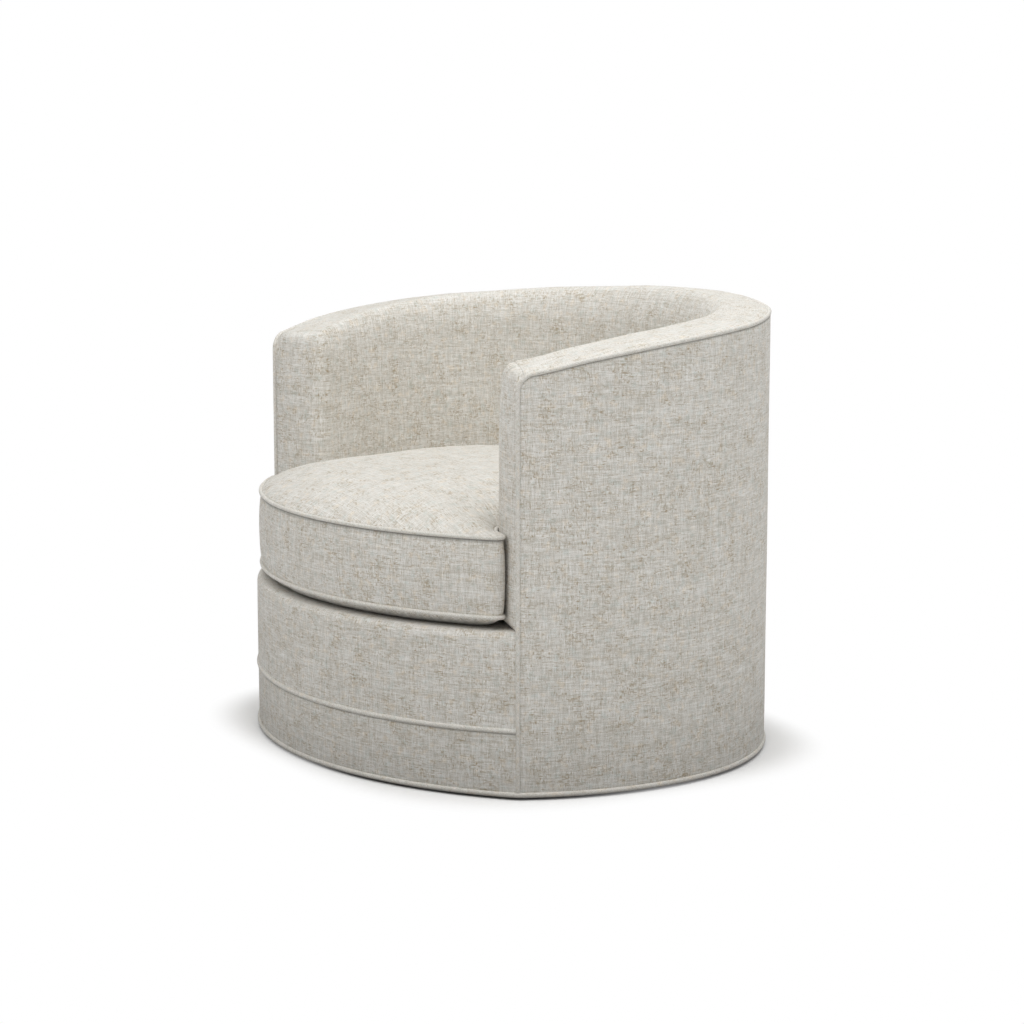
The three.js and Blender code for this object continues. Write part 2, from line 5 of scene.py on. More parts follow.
import bpy
import numpy as np
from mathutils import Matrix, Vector, geometry, noise


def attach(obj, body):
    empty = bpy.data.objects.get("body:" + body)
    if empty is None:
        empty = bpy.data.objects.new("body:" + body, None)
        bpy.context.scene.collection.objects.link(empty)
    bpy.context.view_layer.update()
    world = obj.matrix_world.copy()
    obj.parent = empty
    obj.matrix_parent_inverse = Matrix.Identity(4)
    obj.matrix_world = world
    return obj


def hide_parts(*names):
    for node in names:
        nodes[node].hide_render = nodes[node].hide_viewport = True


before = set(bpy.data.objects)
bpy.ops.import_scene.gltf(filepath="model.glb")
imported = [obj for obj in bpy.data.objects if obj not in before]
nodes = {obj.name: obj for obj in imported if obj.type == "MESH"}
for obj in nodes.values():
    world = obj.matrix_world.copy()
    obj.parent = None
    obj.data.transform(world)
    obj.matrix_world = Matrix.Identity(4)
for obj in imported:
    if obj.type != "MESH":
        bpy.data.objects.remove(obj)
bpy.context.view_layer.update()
print("frame loaded:", len(nodes), "nodes")


def addObject(name, data):
    made = bpy.data.objects.new(name, data)
    bpy.context.scene.collection.objects.link(made)
    return made


# Camera and light

cameraValues = {
    "place": (3.4576, -2.0702, 0.9854),
    "pitch": 81.139,  # degrees up from looking straight down
    "turn": 59.0,
    "lens": 88.08,  # mm on a 36 mm sensor
}


def makeCamera(values):
    data = bpy.data.cameras.new("camera")
    data.lens = values["lens"]
    data.sensor_width = 36
    data.clip_end = 60
    camera = addObject("camera", data)
    camera.location = values["place"]
    camera.rotation_euler = (math.radians(values["pitch"]), 0, math.radians(values["turn"]))
    bpy.context.scene.camera = camera


lightValues = {
    "ambient": 0.33,
    "ambientColour": (1.0, 0.985, 0.955),
    "aim": (0, 0, 0.35),
    # each softbox: place, size, power in watts and colour
    "overhead": ((0.3, 0.2, 2.6), 2.8, 44, (0.978, 0.991, 1.0)),
    "right": ((3.0, 0.8, 1.5), 1.8, 14.8, (0.996, 0.998, 1.0)),
    "left": ((0.5, -2.0, 2.2), 1.6, 20, (0.996, 0.998, 1.0)),
}


def makeSoftbox(name, place, size, power, colour):
    data = bpy.data.lights.new(name, "AREA")
    data.shape = "SQUARE"
    data.size = size
    data.energy = power
    data.color = colour
    lamp = addObject(name, data)
    lamp.location = place
    aim = Vector(lightValues["aim"]) - Vector(place)
    lamp.rotation_euler = aim.to_track_quat("-Z", "Y").to_euler()


makeCamera(cameraValues)
for lampName in ("overhead", "right", "left"):
    makeSoftbox(lampName, *lightValues[lampName])
bpy.context.scene.view_settings.view_transform = "Standard"
print("camera and lamps ready")


# Shader maths


class Shade:
    # a socket that takes part in Python arithmetic
    def __init__(self, tree, socket):
        self.tree = tree
        self.socket = socket

    def maths(self, operation, *values):
        return self.tree.node("Math", values, operation=operation)

    def __add__(self, other):
        return self.maths("ADD", self, other)

    def __radd__(self, other):
        return self.maths("ADD", other, self)

    def __sub__(self, other):
        return self.maths("SUBTRACT", self, other)

    def __rsub__(self, other):
        return self.maths("SUBTRACT", other, self)

    def __mul__(self, other):
        return self.maths("MULTIPLY", self, other)

    def __rmul__(self, other):
        return self.maths("MULTIPLY", other, self)

    def __truediv__(self, other):
        return self.maths("DIVIDE", self, other)

    def __pow__(self, other):
        return self.maths("POWER", self, other)

    def sine(self):
        return self.maths("SINE", self)

    def most(self, other):
        return self.maths("MAXIMUM", self, other)


class ShaderTree:
    # the nodes of a new material, or of a world, every one made by one method
    def __init__(self, name, owner=None):
        self.owner = owner or bpy.data.materials.new(name)
        self.owner.use_nodes = True
        self.nodes = self.owner.node_tree.nodes
        self.links = self.owner.node_tree.links
        self.nodes.clear()

    def node(self, kind, inputs=(), output=0, **settings):
        made = self.nodes.new("ShaderNode" + kind)
        for key, value in settings.items():
            setattr(made, key, value)
        named = inputs.items() if isinstance(inputs, dict) else enumerate(inputs)
        for key, value in named:
            if isinstance(value, Shade):
                self.links.new(value.socket, made.inputs[key])
            else:
                made.inputs[key].default_value = value
        return Shade(self, made.outputs[output]) if made.outputs else None

    def vector(self, x, y, z=0.0):
        return self.node("CombineXYZ", (x, y, z))

    def split(self, vector):
        return [self.node("SeparateXYZ", (vector,), i) for i in range(3)]

    def noise(self, vector, scale, detail=1.0, roughness=0.5):
        inputs = {"Vector": vector, "Scale": scale, "Detail": detail, "Roughness": roughness}
        return self.node("TexNoise", inputs)

    def ramp(self, value, low, high):
        inputs = {0: value, 1: low, 2: high, 3: 0.0, 4: 1.0}
        return self.node("MapRange", inputs, interpolation_type="SMOOTHSTEP")

    def mixColour(self, factor, a, b, blend="MIX"):
        a, b = [c if isinstance(c, Shade) else (*c, 1) for c in (a, b)]
        return self.node("Mix", {0: factor, 6: a, 7: b}, 2, data_type="RGBA", blend_type=blend)

    # 1 for rays that show the background: the camera's, and those through or off a glossy piece
    def seen(self):
        camera, glossy, through = [self.node("LightPath", (), i) for i in (0, 3, 6)]
        return camera.most(glossy).most(through)

    def bump(self, height, strength, distance):
        return self.node("Bump", {"Strength": strength, "Distance": distance, "Height": height})

    def finish(self, inputs):
        self.node("OutputMaterial", (self.node("BsdfPrincipled", inputs),))
        return self.owner


# Heathered linen: pale threads both ways, brown slubs and soft blotches
clothValues = {
    "colour": (0.697, 0.679, 0.633),
    "fleckColour": (0.365, 0.277, 0.158),
    "coolColour": (0.608, 0.625, 0.585),
    "warmColour": (0.738, 0.673, 0.570),
    "topLightWash": 0.38,  # painted light: how much plainer the threads are where the cloth faces up
    "threadPitch": 0.0013,
    "threadLength": 0.016,
    "threadContrast": 1.40,
    "coarsePitch": 0.0034,
    "coarseLength": 0.060,
    "coarseContrast": 0.72,
    "grainContrast": 1.35,
    "slubWidth": 0.0017,
    "slubLengths": (0.0075, 0.0060),
    "fleckRange": (0.585, 0.79),
    "fleckAmount": 0.76,
    "blotchAmount": 0.66,
    "bumpHeight": 0.0004,
}


def makeCloth(name, values):
    tree = ShaderTree(name)
    u, v, _ = tree.split(tree.node("UVMap", uv_map="weave"))
    # noise drawn out along the threads, by its sizes across and up
    drawn = lambda across, up, seed, *rest: tree.noise(tree.vector(u / across, v / up, seed), 1.0, *rest)
    pitch, reach = values["threadPitch"], values["threadLength"]
    acrossThreads, upThreads = drawn(reach, pitch, 3.7, 1.5, 0.6), drawn(pitch, reach, 9.1, 1.5, 0.6)
    fineGrain = tree.noise(tree.vector(u, v, 2.3), 820.0)
    wide, length = values["coarsePitch"], values["coarseLength"]
    acrossCoarse, upCoarse = drawn(length, wide, 4.6), drawn(wide, length, 8.2)
    threads = (acrossThreads + upThreads - 1.0) * values["threadContrast"]
    threads = threads + (acrossCoarse + upCoarse - 1.0) * values["coarseContrast"]
    threads = threads + (fineGrain - 0.5) * values["grainContrast"]
    # painted light: where the cloth faces up its threads are washed out, as under strong light from above,
    # and their bump and roughness follow
    facing = tree.split(tree.node("NewGeometry", (), 1))[2]
    threads = threads * (1.0 - tree.ramp(facing, 0.55, 0.98) * values["topLightWash"])

    # slubs lie along the threads, more of them where the yarn is coarse
    wide, (length, height) = values["slubWidth"], values["slubLengths"]
    acrossSlubs, upSlubs = drawn(length, wide, 5.5), drawn(wide, height, 6.8)
    clusters = tree.noise(tree.vector(u, v, 1.2), 34.0, 2.0)
    slubs = acrossSlubs.most(upSlubs) + (clusters - 0.5) * 0.40
    flecks = tree.ramp(slubs, *values["fleckRange"]) * values["fleckAmount"]
    blotches = tree.noise(tree.vector(u, v, 7.4), 78.0, 2.0, 0.6)

    light = tree.node("Clamp", (threads + 0.5, 0.0, 1.0))
    base = values["colour"]
    dark = [c * k for c, k in zip(base, (0.76, 0.73, 0.68))]
    pale = [min(0.97, c * k) for c, k in zip(base, (1.25, 1.265, 1.31))]
    colour = tree.mixColour(light, dark, pale)
    cool = tree.ramp(blotches, 0.46, 0.30) * values["blotchAmount"]
    warm = tree.ramp(blotches, 0.54, 0.72) * values["blotchAmount"]
    for amount, tint in ((cool, values["coolColour"]), (warm, values["warmColour"])):
        colour = tree.mixColour(amount, colour, [a / b for a, b in zip(tint, base)], "MULTIPLY")
    colour = tree.mixColour(flecks, colour, values["fleckColour"])
    # painted shade: the cloth darkens by the creaseAndShade attribute in seams, in folds below welts, along
    # the darts and on the cushion's underside
    creaseAndShade = tree.node("Attribute", (), 2, attribute_name="creaseAndShade")
    colour = tree.mixColour(creaseAndShade * 0.9, colour, [c * 0.3 for c in base])

    cells = (u * (math.pi / pitch)).sine() * (v * (math.pi / pitch)).sine()
    height = threads * 0.9 + cells * 0.35 + flecks * 0.5
    return tree.finish({
        "Base Color": colour,
        "Roughness": 0.96 - light * 0.12,
        "Specular IOR Level": 0.25,
        "Sheen Weight": 0.18,
        "Sheen Roughness": 0.5,
        "Normal": tree.bump(height, 0.5, values["bumpHeight"]),
    })


woodValues = {
    "ply": 0.0032,  # height of two plies
    "plywood": ((0.62, 0.44, 0.26), (0.48, 0.32, 0.17)),
    "hardwood": ((0.55, 0.37, 0.20), (0.40, 0.25, 0.12)),
}


def makeWood(name, colours, plies):
    tree = ShaderTree(name)
    x, y, z = tree.split(tree.node("TexCoord", (), 3))
    stretched = tree.vector(x * 60.0, y * 7.0, z * 90.0)
    grain = tree.noise(stretched, 1.0, 5.0, 0.6)
    pores = tree.noise(tree.vector(x * 900.0, y * 45.0, z * 900.0), 1.0, 1.0)
    if plies:
        layer = (z * (2 * math.pi / woodValues["ply"])).sine()
        grain = grain * 0.7 + tree.ramp(layer, -0.3, 0.3) * 0.3
    colour = tree.mixColour(tree.ramp(grain, 0.35, 0.68), *colours)
    colour = tree.mixColour(tree.ramp(pores, 0.66, 0.78) * 0.5, colour, [c * 0.5 for c in colours[1]])
    return tree.finish({
        "Base Color": colour,
        "Roughness": 0.55 + grain * 0.2,
        "Normal": tree.bump(grain + pores * 0.4, 0.35, 0.0005),
    })


metalValues = {
    "zinc_steel": ((0.60, 0.61, 0.62), 0.34),
    "spring_steel": ((0.12, 0.12, 0.125), 0.38),
}


def makeMetal(name, colour, roughness):
    tree = ShaderTree(name)
    place = tree.node("TexCoord", (), 3)
    spangle = tree.noise(place, 85.0, 3.0)
    scratches = tree.noise(place, 640.0, 2.0)
    worn = tree.mixColour(tree.ramp(spangle, 0.3, 0.7), [c * 0.82 for c in colour], colour)
    return tree.finish({
        "Base Color": worn,
        "Metallic": 1.0,
        "Roughness": roughness + (spangle - 0.5) * 0.25 + (scratches - 0.5) * 0.1,
        "Normal": tree.bump(scratches, 0.2, 0.0001),
    })


def makeNylon(name, colour):
    tree = ShaderTree(name)
    place = tree.node("TexCoord", (), 3)
    mottle = tree.noise(place, 160.0, 2.0)
    scuffs = tree.ramp(tree.noise(place, 900.0, 1.0), 0.6, 0.8)
    shade = tree.mixColour(mottle, [c * 0.8 for c in colour], [c * 1.25 for c in colour])
    return tree.finish({
        "Base Color": tree.mixColour(scuffs * 0.4, shade, (0.16, 0.16, 0.16)),
        "Roughness": 0.42 + scuffs * 0.3,
        "Normal": tree.bump(mottle + scuffs, 0.25, 0.0002),
    })


# Thin black spun cloth with a dimpled bond pattern
def makeCambric(name):
    tree = ShaderTree(name)
    u, v, _ = tree.split(tree.node("UVMap", uv_map="weave"))
    fibres = tree.noise(tree.vector(u, v, 0.4), 700.0, 3.0, 0.7)
    dots = (u * 3200.0).sine() * (v * 3200.0).sine()
    bond = tree.ramp(dots, 0.1, 0.6)
    colour = tree.mixColour(tree.ramp(fibres, 0.35, 0.7), (0.012, 0.012, 0.013), (0.045, 0.045, 0.047))
    return tree.finish({
        "Base Color": tree.mixColour(bond * 0.5, colour, (0.007, 0.007, 0.007)),
        "Roughness": 0.75 + fibres * 0.2,
        "Specular IOR Level": 0.3,
        "Normal": tree.bump(fibres - bond * 0.6, 0.4, 0.0003),
    })


cloth = makeCloth("heathered_linen", clothValues)
weltCloth = makeCloth("heathered_linen_welt", {
    **clothValues, "threadContrast": 0.8, "coarseContrast": 0.2, "fleckAmount": 0.3, "bumpHeight": 0.0001})
cambric = makeCambric("black_cambric")
plywood = makeWood("birch_plywood", woodValues["plywood"], True)
hardwood = makeWood("frame_hardwood", woodValues["hardwood"], False)
zincSteel = makeMetal("zinc_plated_steel", *metalValues["zinc_steel"])
springSteel = makeMetal("blued_spring_steel", *metalValues["spring_steel"])
nylon = makeNylon("black_nylon", (0.03, 0.03, 0.032))
print("materials ready")


# Plan lines of the body, the same as the frame's

bodyValues = {
    "halfWidth": 0.457,
    "widestY": -0.008,
    "backDepth": 0.399,
    "backFullness": 2.08,
    "cornerX": 0.4025,
    "frontY": -0.391,
    # top welt's height, and the top's rise above it, from the arm front to the middle of the back
    "seamHeights": (0.626, 0.6485, 0.6655, 0.677, 0.684, 0.6915, 0.6955, 0.701, 0.703),
    "crownHeights": (0.0086, 0.006, 0.0055, 0.0046, 0.0043, 0.0042, 0.0042, 0.0044, 0.0045),
    "crownPower": 1.2,
    "crestBase": 0.0039,  # from the welt's middle to the foot of that rise
    "armRoll": (0.018, 0.050),  # half axes of the top's rounding into the inner face
    "backRoll": (0.040, 0.075),
    "armThickness": 0.115,
    "backThickness": 0.098,
    "frontBulge": 0.023,
    "cornerRound": 0.023,  # of the outside cover's top front corners
    "railTop": 0.250,
    "railSeam": 0.1035,
    "railRound": 0.012,
    "underside": 0.012,
    "hem": 0.002,  # how far the outer cloth comes below the underside
    "seamGap": 0.0012,  # from a welt's middle to the edge of the cloth beside it
    "deckGap": 0.0003,
    "bottomWeltHeight": 0.0076,
    "backSeam": 0.34,  # where the side panels meet the back panel, as a share of the wall
}
body = bodyValues


# Distance along a line of points, at each of them
def runAlong(points):
    return np.concatenate([[0], np.cumsum(np.linalg.norm(np.diff(points, axis=0), axis=1))])


class PlanLine:
    # a curve in plan, walked by length, with its inside on the left
    def __init__(self, points):
        self.points = np.array(points)
        self.run = runAlong(self.points)
        self.length = self.run[-1]
        along = np.gradient(self.points, self.run, axis=0)
        self.along = along / np.linalg.norm(along, axis=1)[:, None]

    def at(self, run, inset=0.0):
        run = np.asarray(run, float)
        x, y = [np.interp(run, self.run, self.points[:, i]) for i in (0, 1)]
        alongX, alongY = [np.interp(run, self.run, self.along[:, i]) for i in (0, 1)]
        # past an end the line goes straight on
        over = np.maximum(run - self.length, 0) + np.minimum(run, 0)
        return x - alongY * inset + alongX * over, y + alongX * inset + alongY * over


# Points along a plan line, from a cut after its start to the same before its end
def stretch(line, cut, count, inset):
    return np.column_stack(line.at(np.linspace(cut, line.length - cut, count), inset))


cornerY = body["widestY"] - math.sqrt(body["halfWidth"] ** 2 - body["cornerX"] ** 2)
wallStart = math.asin((cornerY - body["widestY"]) / body["halfWidth"])
bowRise = cornerY - body["frontY"]
bowRadius = (body["cornerX"] ** 2 + bowRise**2) / (2 * bowRise)
bowCentreY = body["frontY"] + bowRadius
bowHalfAngle = math.asin(body["cornerX"] / bowRadius)


def wallPoint(angle):
    across, back = math.cos(angle), math.sin(angle)
    if back < 0:
        return body["halfWidth"] * across, body["widestY"] + body["halfWidth"] * back
    power = 2 / body["backFullness"]
    x = math.copysign(abs(across) ** power, across)
    return body["halfWidth"] * x, body["widestY"] + body["backDepth"] * back**power


def bowPoint(angle):
    return bowRadius * math.sin(angle), bowCentreY - bowRadius * math.cos(angle)


wall = PlanLine([wallPoint(a) for a in np.linspace(wallStart, math.pi - wallStart, 3001)])
bow = PlanLine([bowPoint(a) for a in np.linspace(-bowHalfAngle, bowHalfAngle, 1201)])
armCorner = np.array(wall.at(0.0))
acrossArm = np.array(wall.at(0.0, 1.0)) - armCorner


# Place in plan at the left arm's front, by its inset from the outer corner and its distance ahead
def armPoint(inset, ahead):
    return armCorner + acrossArm * inset - wall.along[0] * ahead


# How far a place on the wall is from the arm front: 0 there, 1 at the middle of the back
def backness(run):
    return 1 - np.abs(2 * np.clip(np.asarray(run) / wall.length, 0, 1) - 1)


def between(low, high, share):
    return low + (high - low) * share


# Smooth curve through values at even spacing, as the frame's spline has it
def smoothAt(values, run):
    last = len(values) - 1
    spot = backness(run) * last
    i = np.minimum(spot.astype(int), last - 1)
    t = spot - i
    pick = lambda k: np.take(values, np.clip(k, 0, last))
    a, b, c, d = pick(i - 1), pick(i), pick(i + 1), pick(i + 2)
    slopeB, slopeC = (c - a) / 2, (d - b) / 2
    return ((2 * b - 2 * c + slopeB + slopeC) * t**3
            + (-3 * b + 3 * c - 2 * slopeB - slopeC) * t**2 + slopeB * t + b)


def seamAt(run):
    return smoothAt(body["seamHeights"], run)


# Height of the padded top's crest
def crestAt(run):
    return seamAt(run) + body["crestBase"] + smoothAt(body["crownHeights"], run)


def thicknessAt(run):
    return between(body["armThickness"], body["backThickness"], backness(run))


# Drop of the top seam where it rounds down into a front corner
def cornerDrop(run):
    bend = body["cornerRound"]
    near = np.minimum(np.abs(run), np.abs(wall.length - np.asarray(run)))
    short = np.clip(bend - near, 0, bend)
    return bend - np.sqrt(bend**2 - short**2)


# Mesh making


# Grids of coordinates as one list of points
def listed(*grids):
    return np.stack(grids, -1).reshape(-1, len(grids))


def atHeight(line, height):
    return np.column_stack([line, np.full(len(line), height)])


# Quads of a grid of points that are stored row by row
def gridFaces(rows, columns, closedRows=False):
    i, j = np.meshgrid(np.arange(rows if closedRows else rows - 1), np.arange(columns - 1), indexing="ij")
    k = (i + 1) % rows
    quads = [i * columns + j, k * columns + j, k * columns + j + 1, i * columns + j + 1]
    return np.stack(quads, -1).reshape(-1, 4)


# A value, or a few, of each vertex, corner or face of a mesh
def readAll(items, key, width=1, kind=float):
    found = np.empty(len(items) * width, kind)
    items.foreach_get(key, found)
    return found.reshape(-1, width) if width > 1 else found


def makePiece(name, points, faces, uvs, material, creaseAndShade=None):
    mesh = bpy.data.meshes.new(name)
    mesh.from_pydata(np.asarray(points).tolist(), [], [list(map(int, f)) for f in faces])
    layer = mesh.uv_layers.new(name="weave")
    uvs = np.asarray(uvs, float)
    if len(uvs) == len(points):
        uvs = uvs[readAll(mesh.loops, "vertex_index", kind=int)]
    layer.data.foreach_set("uv", uvs.ravel())
    # painted shade, stored per vertex for the cloth
    if creaseAndShade is not None:
        shades = mesh.attributes.new("creaseAndShade", "FLOAT", "POINT")
        shades.data.foreach_set("value", np.asarray(creaseAndShade, float).ravel())
    mesh.polygons.foreach_set("use_smooth", [True] * len(mesh.polygons))
    mesh.materials.append(material)
    mesh.update()
    return addObject(name, mesh)


# Ties a finished piece to its body and hides the frame's nodes that it stands for
def dress(piece, bodyName, slotName, *replaced):
    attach(piece, bodyName)
    if replaced:
        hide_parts(*replaced)


# For a sheet held stretched: works out its area from its rectangle and the share that the cloth takes up,
# and keeps nothing
def tellSheet(piece, width, depth, share):
    width * depth * share


def thicken(piece, thickness):
    solidify = piece.modifiers.new("thickness", "SOLIDIFY")
    solidify.thickness = thickness
    solidify.offset = -1
    solidify.use_even_offset = False
    applyModifiers(piece)


def applyModifiers(piece):
    depsgraph = bpy.context.evaluated_depsgraph_get()
    mesh = bpy.data.meshes.new_from_object(piece.evaluated_get(depsgraph), depsgraph=depsgraph)
    piece.modifiers.clear()
    old = piece.data
    piece.data = mesh
    bpy.data.meshes.remove(old)
    mesh.name = piece.name


# Soft unevenness of stuffed cloth: about -1 to 1
def softNoise(points, size, seed):
    offset = Vector((seed * 7.31, seed * 3.17, seed * 5.71))
    return np.array([noise.noise(Vector(p) / size + offset) for p in points])


# Shade in the fold below a welt, by the distance from the cloth's edge
def seamShade(edge):
    return np.exp(-((edge / 0.0046) ** 4))


# How far cloth turns in towards a welt, as a share: 1 at its edge, 0 beyond its reach
def tuckShare(edge, reach):
    return np.exp(-((edge / reach) ** 1.5) * 2.2)


# Outside cover

outsideValues = {
    "step": 0.0085,
    "thickness": 0.0022,
    "tuck": 0.0028,  # how far it turns in below the top welt
    "tuckReach": 0.0034,
    "flushTuck": 0.0009,  # the same beside its other welts
    "unevenness": 0.0006,
    "seamDepth": 0.0016,
    "edgeCut": 0.0022,  # of its front edges from the corner
    "margin": 0.012,  # with finer rows, at the top and the bottom
    "rows": 70,
}


# Runs from low to high, with fine steps within a reach of both ends
def spacedRuns(low, high, fine, coarse, reach):
    near = np.arange(0, reach - fine / 2, fine)
    steps = max(2, int(round((high - low - 2 * reach) / coarse)))
    middle = np.linspace(reach, high - low - reach, steps + 1)
    return low + np.concatenate([near, middle, high - low - near[::-1]])


def makeOutsideCover(values):
    runs = spacedRuns(values["edgeCut"], wall.length - values["edgeCut"], 0.0012, values["step"], 0.0264)
    seams = [share * wall.length for share in (body["backSeam"], 1 - body["backSeam"])]
    beside = np.array([-5, -3, -1.5, -0.6, 0, 0.6, 1.5, 3, 5]) / 1000
    for seam in seams:
        runs = runs[np.abs(runs - seam) > 0.006]
        runs = np.sort(np.concatenate([runs, seam + beside]))
    low = body["underside"] - body["hem"]
    top = (seamAt(runs) - body["seamGap"] - cornerDrop(runs))[:, None]
    margin, shares = values["margin"], np.linspace(0, 1, values["rows"])
    fine = np.arange(0, margin, 0.0015)
    middle = low + margin + (top - low - 2 * margin) * shares
    heights = np.hstack([np.tile(low + fine, (len(top), 1)), middle, top - fine[::-1]])
    run = np.repeat(runs[:, None], heights.shape[1], axis=1)
    side = np.minimum(run - runs[0], runs[-1] - run)
    tucks = [(top - heights, "tuck"), (heights - low, "flushTuck"), (side, "flushTuck")]
    inset = np.maximum.reduce([values[tuck] * tuckShare(edge, values["tuckReach"]) for edge, tuck in tucks])
    edge = np.minimum.reduce([edge for edge, _ in tucks])
    groove = np.zeros_like(run)
    for seam in seams:
        groove = np.maximum(groove, np.exp(-((run - seam) / 0.0011) ** 2))
    x, y = wall.at(run, 0)
    soft = softNoise(listed(x, y, heights * 0.6), 0.11, 1).reshape(run.shape)
    inset = inset + groove * values["seamDepth"] - soft * values["unevenness"] * np.clip(edge / 0.03, 0, 1)
    x, y = wall.at(run, inset)
    points, uvs = listed(x, y, heights), listed(run, heights)
    # painted shade: a dark line down the upright front edges, in the back seams' grooves and in the fold
    # below the top welt
    upright = 0.55 * np.exp(-((side / 0.0024) ** 2)) * np.clip(1 - (top - heights) / 0.12, 0.4, 1)
    creaseAndShade = np.maximum.reduce([groove * 0.8, seamShade(top - heights), upright])
    cover = makePiece("outside_cover", points, gridFaces(*run.shape), uvs, cloth, creaseAndShade)
    thicken(cover, values["thickness"])
    dress(cover, "seat", "cloth", "outside_cover_left_arm", "outside_cover_back", "outside_cover_right_arm")
    tellSheet(cover, wall.length + 0.04, float(top.max()) - low + 0.04, 0.92)


makeOutsideCover(outsideValues)
print("outside cover ready")


# Inside cover and arm fronts: one padded skin from the outer top seam down to the deck

insideValues = {
    "thickness": 0.0035,
    "unevenness": 0.0011,
    "dartDepth": 0.0006,
    "dartStep": 0.0026,  # how much lower the arm front lies beside the dart's inner end
    "dartInset": 0.095,  # where the dart across an arm's top ends
    "dartBack": 0.010,  # how far behind the front the dart meets the outer seam
    "dartTip": 0.0012,  # the same at its inner end
    "footRound": 0.010,
    "edgeInset": 0.0040,  # of the top's outer edge
    "cornerInset": 0.0038,  # of the arm front's outer edge
    "shoulderDrop": 0.018,  # height of the arm front's quick first rounding
    "shoulderShare": 0.66,
    "bellyDrop": 0.085,
    "faceLevel": 0.560,  # below this height the arm front's rows run level
    "faceRows": 36,
    "faceColumns": 22,
}


def sectionShares(values):
    rise = [("rise", s) for s in (0, 0.012, 0.03, 0.055, 0.09, 0.14, 0.21, 0.3, 0.4, 0.52, 0.64, 0.76, 0.88)]
    roll = [("roll", a) for a in np.linspace(0, math.pi / 2, 14)]
    face = [("face", s) for s in np.linspace(0, 1, values["faceRows"])[1:]]
    return rise + roll + face


def rollAt(run):
    return [between(a, b, backness(run)) for a, b in zip(body["armRoll"], body["backRoll"])]


# Inset and height of a place on the skin's section; its outer edge sinks in beside the welt
def sectionPoint(kind, share, run):
    thick = thicknessAt(run)
    width, drop = rollAt(run)
    crest = crestAt(run)
    if kind == "rise":
        edge = insideValues["edgeInset"]
        inset = between(edge, thick - width, share)
        sunk = 0.0034 * np.exp(-((inset - edge) / 0.0045) ** 1.5)
        sunk = sunk + cornerDrop(run) * np.exp(-((inset - edge) / 0.013) ** 2)
        base = seamAt(run) + body["crestBase"]
        return inset, between(base, crest, 1 - (1 - share) ** body["crownPower"]) - sunk
    if kind == "roll":
        return thick - width + width * math.sin(share), crest - drop + drop * math.cos(share)
    return thick, between(crest - drop, body["railTop"] + body["deckGap"], share)


# Padded front of an arm: how far it stands ahead of the front plane at a place below its top line
def frontAhead(inset, height, topLine):
    crest = crestAt(0.0)
    rise = body["crownHeights"][0]
    width, drop = body["armRoll"]
    depth = np.maximum(np.interp(inset, *topLine) - height, 0)
    shoulder = np.sqrt(1 - (1 - np.minimum(depth / insideValues["shoulderDrop"], 1)) ** 2)
    belly = 1 - (1 - np.minimum(depth / insideValues["bellyDrop"], 1)) ** 1.5
    profile = between(belly, shoulder, insideValues["shoulderShare"])
    up = np.clip((height - (crest - rise)) / rise, 0, 1)
    peak = body["armThickness"] - width
    outer = between(insideValues["cornerInset"], peak - 0.002, 1 - (1 - up) ** (1 / body["crownPower"]))
    down = np.clip((height - (crest - drop)) / drop, 0, 1)
    inner = peak + width * np.sqrt(1 - down**2)
    share = np.clip((inset - outer) / np.maximum(inner - outer, 1e-5), 0, 1)
    rising = np.sin(np.pi / 2 * np.minimum(share / 0.8, 1)) ** 0.8
    falling = np.sqrt(np.clip(1 - ((share - 0.8) / 0.2) ** 2, 0, 1))
    swell = np.where(share < 0.8, rising, falling)
    low = body["railTop"] + body["deckGap"]
    foot = np.clip((height - low) / insideValues["footRound"], 0, 1)
    foot = between(0.45, 1, np.sqrt(1 - (1 - foot) ** 2))
    return 0.0003 + body["frontBulge"] * profile * swell * foot


# How much the dart lowers a row of the skin: most at the crest, nothing at the outer seam
def dartDrop(kind, share, inset):
    if kind == "face":
        return 0.0
    along = min(1, max(0, (inset - 0.045) / (insideValues["dartInset"] - 0.045)))
    over = max(0, 1 - share / 0.9) if kind == "roll" else 1
    return insideValues["dartStep"] * along * over
